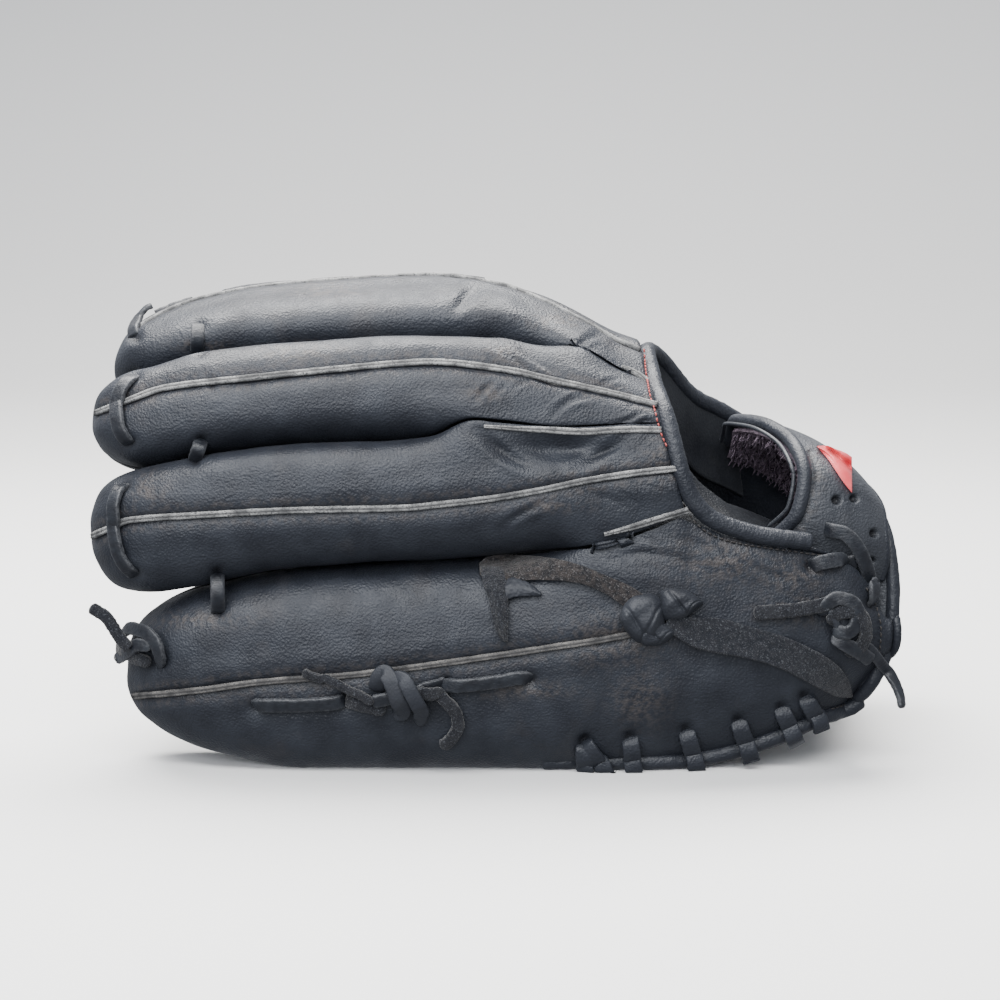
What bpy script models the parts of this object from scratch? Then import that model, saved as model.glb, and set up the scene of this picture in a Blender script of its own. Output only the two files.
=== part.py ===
"""Softball glove, half closed, lying on its little finger's side and its thumb's side.

Metres, +Z up. The fingertips point to -X and the heel to +X. The little finger's side faces -Y and the
thumb's side faces +Y. The glove's back is seven edges that run from the fingertips to the heel. Five
panels of leather bulge between them, a palm lies under them, and laces and welts ride on the panels.
"""
import math
from collections import namedtuple

import bmesh
import bpy
from mathutils import Vector

# Driving sizes
LENGTH = 0.305
DEPTH = 0.140
HEIGHT = 0.184
# The line across the glove on which the little finger's side rests, as a share of DEPTH from its middle
REST_ACROSS = -0.328
LEATHER = 0.0025
PALM_LEATHER = 0.0045
WEB_LEATHER = 0.0045
STRAP_LEATHER = 0.0030
FLEECE = 0.0030
STALL_DEPTH = 0.029
SEAM_DEPTH = 0.004
HAND_DEPTH = 0.048
SIDE_HAND_DEPTH = 0.034
HEEL_DEPTH = 0.016
RAMP = 0.040
SEAM_GAP = 0.0004
CLEARANCE = 0.0004
PALM_GAP = 0.0009
LIFT = 0.0005
BINDING_RADIUS = 0.0028
BINDING_SEAT = 0.0008
GAP_RAMP = 0.006
HEEL_ROLL = 0.0016
FINGER_LACE_BOW = 0.010
LINK_REACH = 0.72
WELT_WIDTH = 0.0026
WELT_THICKNESS = 0.0012
GAP_WELT_LIFT = 0.0018
LACE_WIDTH = 0.0055
LACE_THICKNESS = 0.0022
TAIL_WIDTH = 0.0045
TIE_WIDTH = 0.0090
WIDE_TIE_WIDTH = 0.0105
BRIDGE_SAG = 0.0060
THUMB_MOUND = 0.014
LITTLE_MOUND = 0.003
WEB_BULGE = 0.015
WEB_TUCK = 0.0006
STRAP_BULGE = 0.004
BADGE_THICKNESS = 0.0025

# The panels, and the lower of the two edges beside each: the web lies between edges 4 and 5
LITTLE, RING, MIDDLE, INDEX, THUMB = range(5)
PANELS = ("little", "ring", "middle", "index", "thumb")
LOW_EDGE = (0, 1, 2, 3, 5)
MOUNDS = (LITTLE_MOUND, 0.0, 0.0, 0.0, THUMB_MOUND)
LITTLE_SIDE, THUMB_TOP, THUMB_SIDE = 0, 5, 6

# Each row of an edge is a section: the share of LENGTH from the fingertips, the share of DEPTH across, the
# share of HEIGHT up, and the lean of the wall between two fingers, in degrees up from -Y
Row = namedtuple("Row", "at across up lean")

LITTLE_EDGE = (
    Row(0.044, -0.443, 0.040, 0), Row(0.169, -0.479, 0.008, 0), Row(0.254, -0.493, -0.016, 0),
    Row(0.500, -0.500, -0.018, 0), Row(0.697, -0.486, -0.018, 0), Row(0.752, -0.471, -0.006, 0),
    Row(0.828, -0.450, 0.020, 2), Row(0.897, -0.421, 0.072, 8), Row(0.943, -0.393, 0.130, 12),
    Row(0.985, -0.357, 0.196, 16))
LITTLE_TO_RING = (
    Row(0.025, -0.457, 0.391, 0), Row(0.133, -0.500, 0.396, 0), Row(0.254, -0.514, 0.418, 0),
    Row(0.418, -0.518, 0.429, 0), Row(0.500, -0.521, 0.435, 0), Row(0.579, -0.521, 0.465, 3),
    Row(0.641, -0.514, 0.486, 6), Row(0.690, -0.511, 0.516, 8), Row(0.736, -0.500, 0.543, 10),
    Row(0.782, -0.493, 0.516, 10), Row(0.828, -0.486, 0.495, 10), Row(0.877, -0.468, 0.484, 12),
    Row(0.926, -0.436, 0.459, 14), Row(0.962, -0.400, 0.418, 16), Row(0.985, -0.371, 0.359, 18))
RING_TO_MIDDLE = (
    Row(-0.002, -0.443, 0.663, 14), Row(0.044, -0.464, 0.658, 16), Row(0.133, -0.493, 0.679, 18),
    Row(0.254, -0.507, 0.707, 18), Row(0.418, -0.507, 0.717, 18), Row(0.467, -0.500, 0.739, 18),
    Row(0.503, -0.496, 0.734, 18), Row(0.579, -0.486, 0.723, 18), Row(0.654, -0.471, 0.726, 18),
    Row(0.710, -0.457, 0.728, 18), Row(0.762, -0.450, 0.640, 18), Row(0.828, -0.443, 0.565, 18),
    Row(0.910, -0.407, 0.500, 20), Row(0.985, -0.357, 0.410, 22))
MIDDLE_TO_INDEX = (
    Row(-0.002, -0.286, 0.870, 42), Row(0.057, -0.300, 0.870, 44), Row(0.133, -0.314, 0.902, 46),
    Row(0.205, -0.321, 0.918, 47), Row(0.316, -0.321, 0.929, 47), Row(0.418, -0.321, 0.938, 47),
    Row(0.503, -0.314, 0.935, 47), Row(0.552, -0.307, 0.910, 47), Row(0.602, -0.300, 0.883, 46),
    Row(0.648, -0.293, 0.837, 46), Row(0.700, -0.286, 0.793, 45), Row(0.762, -0.271, 0.717, 46),
    Row(0.828, -0.257, 0.685, 48), Row(0.910, -0.229, 0.620, 50), Row(0.985, -0.200, 0.478, 50))
INDEX_EDGE = (
    Row(0.025, 0.043, 0.935, 74), Row(0.057, 0.057, 0.946, 76), Row(0.133, 0.079, 0.978, 78),
    Row(0.205, 0.086, 1.000, 79), Row(0.316, 0.093, 1.016, 80), Row(0.418, 0.093, 1.024, 80),
    Row(0.503, 0.086, 1.000, 80), Row(0.552, 0.079, 0.973, 80), Row(0.602, 0.064, 0.929, 80),
    Row(0.648, 0.043, 0.886, 80), Row(0.690, 0.014, 0.848, 82), Row(0.726, 0.086, 0.761, 95),
    Row(0.752, 0.157, 0.698, 110), Row(0.802, 0.243, 0.674, 125), Row(0.844, 0.286, 0.641, 132),
    Row(0.893, 0.329, 0.576, 142), Row(0.943, 0.357, 0.500, 150), Row(0.992, 0.357, 0.391, 160))
THUMB_UPPER_EDGE = (
    Row(0.146, 0.414, 0.457, 168), Row(0.254, 0.443, 0.500, 168), Row(0.352, 0.443, 0.533, 163),
    Row(0.434, 0.393, 0.609, 152), Row(0.500, 0.300, 0.739, 136), Row(0.549, 0.193, 0.864, 114),
    Row(0.598, 0.066, 0.931, 80))
THUMB_EDGE = (
    Row(0.146, 0.429, 0.076, 180), Row(0.254, 0.457, 0.018, 180), Row(0.352, 0.471, -0.014, 180),
    Row(0.500, 0.479, -0.018, 180), Row(0.697, 0.471, -0.018, 180), Row(0.762, 0.457, -0.003, 180),
    Row(0.828, 0.443, 0.027, 178), Row(0.897, 0.414, 0.079, 172), Row(0.943, 0.393, 0.130, 168),
    Row(0.992, 0.357, 0.201, 164))
EDGES = (LITTLE_EDGE, LITTLE_TO_RING, RING_TO_MIDDLE, MIDDLE_TO_INDEX, INDEX_EDGE, THUMB_UPPER_EDGE,
         THUMB_EDGE)
# Past this share of LENGTH the thumb's panel and the index finger's share one edge
JOIN = 0.598
# The web's two ends, and how deep beside the fingers it is laced
WEB_START = 0.175
WEB_END = 0.545
WEB_SEAT = 0.45
WEB_LACE_START = 0.195
WEB_LACE_END = 0.455

# Where each finger ends, how long its round end is, and where its walls start to fade into the hand
Tip = namedtuple("Tip", "at round")
TIPS = (Tip(0.045, 0.115), Tip(-0.001, 0.100), Tip(0.004, 0.100), Tip(0.026, 0.100), Tip(0.146, 0.110))
FORKS = (0.50, 0.50, 0.355, 0.485, 0.47, 0.47, 0.50)

# The opening of the back, from the edge between little and ring finger to the index finger's far edge
OPENING = (0.739, 0.709, 0.697, 0.689)
BINDING_NEAR_END = 0.885
BINDING_FAR_END = 0.835
# How far past the opening's corners the binding is straight again
BINDING_TURN = 0.014
HEEL_END = (0.990, 0.0, 0.0, 0.0, 0.998)
# How much of the heel's width its binding covers
HEEL_BINDING_SPAN = (-0.72, 0.60)
PALM_END = 0.975
HEEL_ROUND = 0.045

# The wrist strap's two rims, from inside the little finger's panel over the top to inside the thumb's
Rim = namedtuple("Rim", "at across up")
STRAP_FRONT = (Rim(0.874, -0.372, 0.430), Rim(0.880, -0.395, 0.527), Rim(0.884, -0.357, 0.614),
               Rim(0.870, -0.236, 0.668), Rim(0.841, -0.071, 0.690), Rim(0.815, 0.100, 0.679),
               Rim(0.808, 0.207, 0.609))
STRAP_REAR = (Rim(0.962, -0.310, 0.350), Rim(0.972, -0.320, 0.435), Rim(0.970, -0.271, 0.522),
              Rim(0.956, -0.157, 0.563), Rim(0.939, 0.000, 0.571), Rim(0.926, 0.157, 0.549),
              Rim(0.930, 0.270, 0.467))

# A lace's path is a few places seen from the side: shares of LENGTH and HEIGHT, and how high it is held
Place = namedtuple("Place", "at up held")
# The welts along the fingers: shares of LENGTH with shares of HEIGHT seen from the side, or on the index
# finger and thumb with the place across the finger
FINGER_WELTS = (
    (INDEX, ((0.085, 0.33), (0.16, 0.45), (0.24, 0.52), (0.42, 0.50), (0.50, 0.40), (0.58, 0.20), (0.677, 0.05))),
    (MIDDLE, ((0.068, 0.783), (0.195, 0.816), (0.319, 0.837), (0.419, 0.849), (0.506, 0.843), (0.580, 0.812),
              (0.690, 0.766))),
    (RING, ((0.064, 0.538), (0.133, 0.546), (0.257, 0.556), (0.381, 0.560), (0.506, 0.581), (0.580, 0.594),
            (0.630, 0.613), (0.700, 0.632))),
    (LITTLE, ((0.100, 0.171), (0.207, 0.193), (0.319, 0.210), (0.419, 0.235), (0.506, 0.254), (0.630, 0.283),
              (0.667, 0.293))),
    (THUMB, ((0.20, 0.0), (0.30, 0.0), (0.45, 0.0), (0.60, 0.05))),
)
GAP_WELTS = (("gap_welt_ring", 1, 0.645, 0.728), ("gap_welt_middle", 2, 0.505, 0.692),
             ("gap_welt_index", 3, 0.657, 0.683))
# The laces over the fingertips: where each starts and ends along and across its finger
TIP_LACES = ((INDEX, (0.071, 0.45), (0.056, -0.35)), (MIDDLE, (0.045, 0.45), (0.042, -0.70)),
             (RING, (0.036, 0.40), (0.048, -0.75)))
LINK_LACES = ((MIDDLE, 0.129), (RING, 0.132), (LITTLE, 0.154))
SIDE_LACE_FRONT = (Place(0.204, 0.154, 0.0), Place(0.255, 0.156, 0.0), Place(0.305, 0.154, 0.0))
SIDE_LACE_REAR = (Place(0.432, 0.188, 0.0), Place(0.485, 0.203, 0.0), Place(0.538, 0.208, 0.0))
SIDE_TAIL_SHORT = (Place(0.262, 0.226, 0.0022), Place(0.292, 0.206, 0.0022), Place(0.318, 0.190, 0.0022))
SIDE_TAIL_CURL = (Place(0.418, 0.140, 0.0), Place(0.445, 0.128, 0.001), Place(0.452, 0.095, 0.001),
                  Place(0.430, 0.065, 0.0))
TIE_TAIL_LONG = (Place(0.652, 0.400, 0.001), Place(0.600, 0.425, 0.002), Place(0.550, 0.444, 0.002),
                 Place(0.508, 0.440, 0.002), Place(0.494, 0.395, 0.002), Place(0.500, 0.335, 0.001),
                 Place(0.510, 0.283, 0.0))
TIE_TAIL_WIDE = (Place(0.756, 0.318, 0.001), Place(0.829, 0.288, 0.002), Place(0.903, 0.243, 0.001),
                 Place(0.930, 0.205, 0.0))
WRIST_LACE = (Place(0.890, 0.425, 0.0), Place(0.912, 0.415, 0.0), Place(0.932, 0.400, 0.0))
WRIST_TAIL = (Place(0.843, 0.343, 0.0), Place(0.875, 0.355, 0.001), Place(0.903, 0.360, 0.001))
WRIST_TAIL_LOW = (Place(0.951, 0.262, 0.0), Place(0.968, 0.225, 0.001), Place(0.980, 0.165, 0.001))
LACES = (("side_lace_front", LITTLE, SIDE_LACE_FRONT, LACE_WIDTH, None),
         ("side_lace_rear", LITTLE, SIDE_LACE_REAR, LACE_WIDTH, None),
         ("side_tail_short", LITTLE, SIDE_TAIL_SHORT, TAIL_WIDTH, None),
         ("side_tail_curl", LITTLE, SIDE_TAIL_CURL, TAIL_WIDTH, None),
         ("tie_tail_long", LITTLE, TIE_TAIL_LONG, TIE_WIDTH, BRIDGE_SAG),
         ("tie_tail_wide", LITTLE, TIE_TAIL_WIDE, WIDE_TIE_WIDTH, None),
         ("wrist_lace", LITTLE, WRIST_LACE, LACE_WIDTH, None),
         ("wrist_tail", LITTLE, WRIST_TAIL, LACE_WIDTH, None),
         ("wrist_tail_low", LITTLE, WRIST_TAIL_LOW, TAIL_WIDTH, None))
KNOTS = (("side_knot", LITTLE, 0.375, 0.177, (0.0270, 0.0140, 0.0080)),
         ("tie_knot", LITTLE, 0.704, 0.348, (0.0280, 0.0210, 0.0110)),
         ("wrist_knot", LITTLE, 0.930, 0.322, (0.0120, 0.0180, 0.0090)),
         ("tip_knot", LITTLE, 0.066, 0.264, (0.0130, 0.0110, 0.0070)))
TIP_TAIL = ((0.0470, -0.4180, 0.282), (0.024, -0.447, 0.328), (0.010, -0.455, 0.352), (-0.001, -0.440, 0.365))
HEEL_LACES = (0.628, 0.677, 0.742, 0.804, 0.857, 0.892)
BADGE_SPAN = (0.50, 0.54, 0.58, 0.62)
BADGE_WIDTH = (0.35, 0.55, 0.75)

# The sections that all panels and the palm share
STEP = 0.047
COMMON = [0.15 + STEP * i for i in range(19)]
# How far to either side a slope is measured
REACH = 0.002
# Colours
BLACK_LEATHER = (0.035, 0.038, 0.048)
PALM_BLACK = (0.030, 0.031, 0.036)
LACE_BLACK = (0.020, 0.021, 0.026)
WELT_GREY = (0.300, 0.300, 0.290)
FLEECE_PURPLE = (0.050, 0.030, 0.050)
BADGE_RED = (0.550, 0.030, 0.040)
ROUGHNESS = 0.6


def mix(a, b, t):
    return a + (b - a) * t


def ramp(t):
    t = min(1.0, max(0.0, t))
    return t * t * (3.0 - 2.0 * t)


def station(at):
    """The X of a share of the length."""
    return (at - 0.5) * LENGTH


def crossways(across):
    """The Y of a share of the depth. Y is 0 where the little finger's side rests."""
    return (across - REST_ACROSS) * DEPTH


def curve(rows, position):
    """All columns after the first, on a smooth curve through the rows at a value of the first column."""
    last = len(rows) - 1
    position = min(rows[last][0], max(rows[0][0], position))
    i = 0
    while i < last - 1 and position > rows[i + 1][0]:
        i += 1
    width = rows[i + 1][0] - rows[i][0]
    t = (position - rows[i][0]) / width
    values = []
    for column in range(1, len(rows[0])):
        slopes = [slope_at(rows, j, column) for j in (i, i + 1)]
        a, b = rows[i][column], rows[i + 1][column]
        t2, t3 = t * t, t * t * t
        values.append((2 * t3 - 3 * t2 + 1) * a + (t3 - 2 * t2 + t) * width * slopes[0]
                      + (3 * t2 - 2 * t3) * b + (t3 - t2) * width * slopes[1])
    return values


def slope_at(rows, j, column):
    """The slope of a table's column at one row, flat where the column turns."""
    last = len(rows) - 1
    if j in (0, last):
        a, b = (0, 1) if j == 0 else (last - 1, last)
        return (rows[b][column] - rows[a][column]) / (rows[b][0] - rows[a][0])
    before = (rows[j][column] - rows[j - 1][column]) / (rows[j][0] - rows[j - 1][0])
    after = (rows[j + 1][column] - rows[j][column]) / (rows[j + 1][0] - rows[j][0])
    if before * after <= 0.0:
        return 0.0
    return 2.0 * before * after / (before + after)


def edge(k, x):
    """The outer line of edge k in the section at x, and the direction of the wall below it."""
    at = x / LENGTH + 0.5
    rows = INDEX_EDGE if k == THUMB_TOP and at >= JOIN else EDGES[k]
    across, up, lean = curve(rows, at)
    lean = math.radians(lean)
    return Vector((x, crossways(across), up * HEIGHT)), Vector((0.0, -math.cos(lean), math.sin(lean)))


def hand_share(k, x):
    """0 where edge k parts two fingers, 1 where their walls have faded into the hand."""
    return ramp((x - station(FORKS[k])) / RAMP)


def back_depth(k, x):
    """How far below its outer line a panel's rim lies."""
    outside = k in (0, THUMB_SIDE)
    return mix(STALL_DEPTH, HEEL_DEPTH if outside else SEAM_DEPTH, hand_share(k, x))


def palm_depth(k, x):
    """How far below the outer line the palm's back lies."""
    if k in (0, THUMB_SIDE):
        return back_depth(k, x) + PALM_GAP
    return mix(STALL_DEPTH + PALM_GAP, SIDE_HAND_DEPTH if k == 1 else HAND_DEPTH, hand_share(k, x))


def taper(panel, x):
    """How much of its full width and depth a finger has at x: 0 at its tip, 1 past its round end."""
    tip = TIPS[panel]
    t = (x - station(tip.at)) / (tip.round * LENGTH)
    t = min(1.0, max(0.0, t))
    return (1.0 - (1.0 - t) ** 2.3) ** (1.0 / 2.3)


def rim(k, x):
    """The line on which a panel's rim lies beside edge k."""
    point, wall = edge(k, x)
    return point - wall * back_depth(k, x)


def rim_gap(panel, k, x):
    """The space a panel keeps to the middle of the seam or the binding beside it."""
    start = {(LITTLE, 1): OPENING[0], (THUMB, THUMB_TOP): OPENING[-1]}.get((panel, k))
    if start is None:
        return SEAM_GAP
    before, after = [rim(k, x + step) for step in (-REACH, REACH)]
    slant = (after - before).length / (2.0 * REACH)
    return mix(SEAM_GAP, (BINDING_RADIUS + BINDING_SEAT) * slant, ramp((x - station(start)) / GAP_RAMP + 1.0))


def profile(panel, x, across):
    """The share of full height that a panel has at a place across it, from -1 to 1."""
    low = LOW_EDGE[panel]
    hand = 0.5 * (hand_share(low, x) + hand_share(low + 1, x))
    spread = mix(2.9, 2.2, hand)
    crown = mix(2.9, 1.3, hand)
    return max(0.0, 1.0 - abs(across) ** spread) ** (1.0 / crown)


def skin(panel, x, across, lift=0.0, sag=None):
    """A point of a panel's outer face, or above it. With a sag it spans the valleys beside the panel."""
    low = LOW_EDGE[panel]
    width = taper(panel, x)
    outer, inner = [], []
    for k in (low, low + 1):
        point, wall = edge(k, x)
        outer.append(point)
        inner.append(point - wall * back_depth(k, x))
    span = (inner[1] - inner[0]).length
    gaps = [rim_gap(panel, k, x) / span for k in (low, low + 1)]
    a = 0.5 + 0.5 * across * width
    a = mix(gaps[0], 1.0 - gaps[1], a)
    height = profile(panel, x, across)
    base, top = inner[0].lerp(inner[1], a), outer[0].lerp(outer[1], a)
    wall = top - base
    if sag is not None:
        height = max(height, 1.0 - sag / wall.length)
    height *= width
    mound = MOUNDS[panel] * 0.5 * (hand_share(low, x) + hand_share(low + 1, x)) * (1.0 - across * across)
    return base + wall * height + wall.normalized() * (mound + lift)


def face(panel, x, across, lift=0.0, sag=None):
    """A point above a panel and the panel's own direction outward there."""
    along = skin(panel, x + REACH, across, 0.0, sag) - skin(panel, x - REACH, across, 0.0, sag)
    turn = 0.08
    over = skin(panel, x, across + turn, 0.0, sag) - skin(panel, x, across - turn, 0.0, sag)
    normal = along.cross(over).normalized()
    return skin(panel, x, across, 0.0, sag) + normal * lift, normal


def clear_scene():
    for item in list(bpy.data.objects):
        bpy.data.objects.remove(item, do_unlink=True)


def material(name, colour):
    made = bpy.data.materials.new(name)
    made.use_nodes = True
    shader = made.node_tree.nodes["Principled BSDF"]
    shader.inputs["Base Color"].default_value = (*colour, 1.0)
    shader.inputs["Roughness"].default_value = ROUGHNESS
    shader.inputs["Metallic"].default_value = 0.0
    return made


def add_object(name, bm, colour):
    """Makes one named piece with its own material from a bmesh, with no point below the floor."""
    for vert in bm.verts:
        vert.co.z = max(0.0, vert.co.z)
    mesh = bpy.data.meshes.new(name)
    bm.to_mesh(mesh)
    bm.free()
    piece = bpy.data.objects.new(name, mesh)
    bpy.context.scene.collection.objects.link(piece)
    mesh.materials.append(material(name, colour))
    mesh.shade_smooth()
    mesh.set_sharp_from_angle(angle=math.radians(40))
    return piece


def thicken(bm, thickness, seams):
    """Turns an open sheet into a closed wall that grows inward. At a seam it grows along the seam's plane."""
    bm.normal_update()
    inner = {}
    for vert in list(bm.verts):
        inward = vert.normal * vert.calc_shell_factor()
        if vert in seams:
            sideways, wall, share = seams[vert]
            across = (vert.normal - wall * vert.normal.dot(wall)).normalized()
            down = (vert.normal - sideways * vert.normal.dot(sideways)).normalized()
            inward = across.lerp(down, share).normalized()
            inward = inward / max(0.5, inward.dot(vert.normal))
        point = vert.co - inward * thickness
        if vert.normal.z < -0.5:
            point.z = max(point.z, vert.co.z + 0.9 * thickness)
        inner[vert] = bm.verts.new(point)
    faces = list(bm.faces)
    borders = [loop for edge_ in bm.edges if edge_.is_boundary for loop in edge_.link_loops]
    borders = [(loop.vert, loop.link_loop_next.vert) for loop in borders]
    for side in faces:
        bm.faces.new([inner[vert] for vert in reversed(side.verts)])
    for start, end in borders:
        bm.faces.new((end, start, inner[start], inner[end]))


def sheet(rows, thickness, sides=None):
    """A closed wall on a grid of points. Points in the same place become one."""
    bm = bmesh.new()
    grid = [[bm.verts.new((point.x, point.y, max(0.0, point.z))) for point in row] for row in rows]
    seams = {}
    for row, side in zip(grid, sides or []):
        seams[row[0]], seams[row[-1]] = side
    for i in range(len(grid) - 1):
        for j in range(len(grid[0]) - 1):
            bm.faces.new((grid[i][j], grid[i + 1][j], grid[i + 1][j + 1], grid[i][j + 1]))
    close_sheet(bm, thickness, seams)
    return bm


def close_sheet(bm, thickness, seams):
    bmesh.ops.remove_doubles(bm, verts=bm.verts, dist=1e-6)
    bmesh.ops.dissolve_degenerate(bm, edges=bm.edges, dist=1e-7)
    thicken(bm, thickness, {vert: seam for vert, seam in seams.items() if vert.is_valid})


def seam_at(k, x):
    """The direction square to the wall at an edge, the wall's, and how far the edge lies in the hand."""
    wall = edge(k, x)[1]
    share = 0.0 if k in (LITTLE_SIDE, THUMB_SIDE) else hand_share(k, x)
    return Vector((0.0, wall.z, -wall.y)), wall, share


def spread(count):
    """Places from -1 to 1, closer together towards both ends."""
    return [math.sin(math.pi * (j / count - 0.5)) for j in range(count + 1)]


def stations_of(panel, end):
    """The sections of a panel: close together round its tip, then evenly spaced to its end."""
    tip = TIPS[panel]
    round_rows = 5
    rows = [tip.at + tip.round * (1.0 - math.cos(0.5 * math.pi * i / round_rows)) for i in range(round_rows)]
    rows += [at for at in COMMON if tip.at + tip.round * 0.85 < at < end - 0.4 * STEP]
    return rows + [end]


def opening_at(panel, across):
    """Where along the glove the opening's binding crosses a panel."""
    c = panel - 1 + 0.5 * (across + 1.0)
    rows = [(i, at) for i, at in enumerate(OPENING)]
    return curve(rows, c)[0]


def panel_end(panel, across):
    if panel in (LITTLE, THUMB):
        return HEEL_END[panel] - HEEL_ROUND * abs(across) ** 4
    return opening_at(panel, across) - (BINDING_RADIUS + CLEARANCE) / LENGTH


def back_panel(panel):
    """One finger's back: a wall that bulges between two edges and closes round the fingertip."""
    columns = spread(12 if panel == THUMB else 10)
    middle = panel_end(panel, 0.0)
    bend = middle - 0.13
    rows = []
    for at in stations_of(panel, middle):
        row = []
        for across in columns:
            shift = (panel_end(panel, across) - middle) * max(0.0, (at - bend) / (middle - bend))
            row.append(skin(panel, station(at + shift), across))
        rows.append(row)
    low = LOW_EDGE[panel]
    sides = [[seam_at(k, row[0].x) for k in (low, low + 1)] for row in rows]
    bm = sheet(rows, LEATHER, sides)
    return add_object("back_" + PANELS[panel], bm, BLACK_LEATHER)


def palm_point(panel, x, across):
    low = LOW_EDGE[panel]
    width = taper(panel, x)
    inner = []
    for k in (low, low + 1):
        point, wall = edge(k, x)
        inner.append(point - wall * palm_depth(k, x))
    span = (inner[1] - inner[0]).length
    gaps = [palm_gap(k, x) / span for k in (low, low + 1)]
    a = mix(gaps[0], 1.0 - gaps[1], 0.5 + 0.5 * across * width)
    point = inner[0].lerp(inner[1], a)
    return Vector((point.x, point.y, max(0.0, point.z)))


def palm_gap(k, x):
    """The fingers' fronts part before the fork, and are one piece past it."""
    if k in (LITTLE_SIDE, THUMB_SIDE) or hand_share(k, x) > 0.0:
        return 0.0
    return SEAM_GAP


def palm():
    bm = bmesh.new()
    for panel in range(len(PANELS)):
        count = 6 if panel == THUMB else 3
        columns = [2.0 * j / count - 1.0 for j in range(count + 1)]
        rows = [[bm.verts.new(palm_point(panel, station(at), across)) for across in columns]
                for at in stations_of(panel, PALM_END)]
        for i in range(len(rows) - 1):
            for j in range(len(columns) - 1):
                bm.faces.new((rows[i][j], rows[i + 1][j], rows[i + 1][j + 1], rows[i][j + 1]))
    close_sheet(bm, PALM_LEATHER, {})
    return add_object("palm", bm, PALM_BLACK)


def web_point(x, t, lift=0.0):
    """A point of the web's outer face, from the index finger's wall at t = 0 to the thumb's at 1."""
    ends = []
    for k, side in ((INDEX + 1, 1.0), (THUMB_TOP, -1.0)):
        point, wall = edge(k, x)
        away = Vector((0.0, wall.z, -wall.y)) * side
        ends.append(point - wall * back_depth(k, x) * WEB_SEAT - away * WEB_TUCK)
    chord = ends[1] - ends[0]
    outward = Vector((0.0, -chord.z, chord.y)).normalized()
    return ends[0].lerp(ends[1], t) + outward * (WEB_BULGE * 4.0 * t * (1.0 - t) + lift)


def web():
    rows, sides = [], []
    for i in range(9):
        x = station(mix(WEB_START, WEB_END, i / 8))
        rows.append([web_point(x, j / 8) for j in range(9)])
        sides.append([seam_at(k, x)[:2] + (1.0,) for k in (INDEX + 1, THUMB_TOP)])
    return add_object("web", sheet(rows, WEB_LEATHER, sides), PALM_BLACK)


def strap_rims(t):
    """The strap's front and rear rim points at t, which runs over the wrist from 0 to 1."""
    steps = len(STRAP_FRONT) - 1
    ends = []
    for rims in (STRAP_FRONT, STRAP_REAR):
        rows = [(i / steps, rim.at, rim.across, rim.up) for i, rim in enumerate(rims)]
        at, across, up = curve(rows, t)
        ends.append(Vector((station(at), crossways(across), up * HEIGHT)))
    return ends


def strap_point(t, w, lift=0.0):
    """A point above the strap's outer face: w runs from its front rim at 0 to its rear rim at 1."""
    front, rear = strap_rims(t)
    step = 0.02
    before, after = strap_rims(max(0.0, t - step)), strap_rims(min(1.0, t + step))
    over = after[0].lerp(after[1], w) - before[0].lerp(before[1], w)
    normal = (rear - front).cross(over).normalized()
    return front.lerp(rear, w) + normal * (STRAP_BULGE * 4.0 * w * (1.0 - w) + lift)


def strap_sheet(name, drop, thickness, front, colour):
    rows = []
    for j in range(5):
        rows.append([strap_point(i / 16, mix(front, 1.0, j / 4), -drop) for i in range(17)])
    return add_object(name, sheet(rows, thickness), colour)


def ribbon(path, normals, width, thickness):
    """A closed flat band with rounded sides that follows a path."""
    outline = ((0.5, 0.0), (0.32, 0.5), (-0.32, 0.5), (-0.5, 0.0), (-0.32, -0.5), (0.32, -0.5))
    bm = bmesh.new()
    rings = []
    for i, point in enumerate(path):
        along = (path[min(i + 1, len(path) - 1)] - path[max(i - 1, 0)]).normalized()
        side = along.cross(normals[i]).normalized()
        up = side.cross(along)
        rings.append([bm.verts.new(point + side * a * width + up * b * thickness) for a, b in outline])
    for ring, after in zip(rings, rings[1:]):
        for j in range(len(outline)):
            k = (j + 1) % len(outline)
            bm.faces.new((ring[j], ring[k], after[k], after[j]))
    bm.faces.new(reversed(rings[0]))
    bm.faces.new(rings[-1])
    bmesh.ops.recalc_face_normals(bm, faces=bm.faces)
    return bm


def across_at(panel, x, z, sag=None):
    """The place across a panel where its face is at a height."""
    low, high = -1.0, 1.0
    rising = skin(panel, x, high).z > skin(panel, x, low).z
    for _ in range(24):
        middle = 0.5 * (low + high)
        if (skin(panel, x, middle, 0.0, sag).z < z) == rising:
            low = middle
        else:
            high = middle
    return 0.5 * (low + high)


def lace(name, panel, places, width=LACE_WIDTH, sag=None):
    """A flat leather lace that lies on a panel along a smooth curve through its places."""
    total = len(places) - 1
    rows = [(i / total, place.at, place.up, place.held) for i, place in enumerate(places)]
    length = sum(math.hypot((b.at - a.at) * LENGTH, (b.up - a.up) * HEIGHT) for a, b in zip(places, places[1:]))
    count = max(3, round(length / 0.006))
    path, normals = [], []
    for i in range(count + 1):
        at, up, held = curve(rows, i / count)
        x = station(at)
        across = across_at(panel, x, up * HEIGHT, sag)
        point, normal = face(panel, x, across, held + LIFT + 0.5 * LACE_THICKNESS, sag)
        path.append(point)
        normals.append(normal)
    return add_object(name, ribbon(path, normals, width, LACE_THICKNESS), LACE_BLACK)


def finger_welt(panel, places):
    """The narrow grey welt along the middle of a finger, seen from the side at shares of HEIGHT."""
    path, normals = [], []
    start, end = places[0][0], places[-1][0]
    for i in range(19):
        at = mix(start, end, (i / 18) ** 1.4)
        x = station(at)
        across = curve(places, at)[0]
        if panel < INDEX:
            across = across_at(panel, x, across * HEIGHT)
        point, normal = face(panel, x, across, LIFT + 0.5 * WELT_THICKNESS)
        path.append(point)
        normals.append(normal)
    bm = ribbon(path, normals, WELT_WIDTH, WELT_THICKNESS)
    return add_object("welt_" + PANELS[panel], bm, WELT_GREY)


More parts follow.
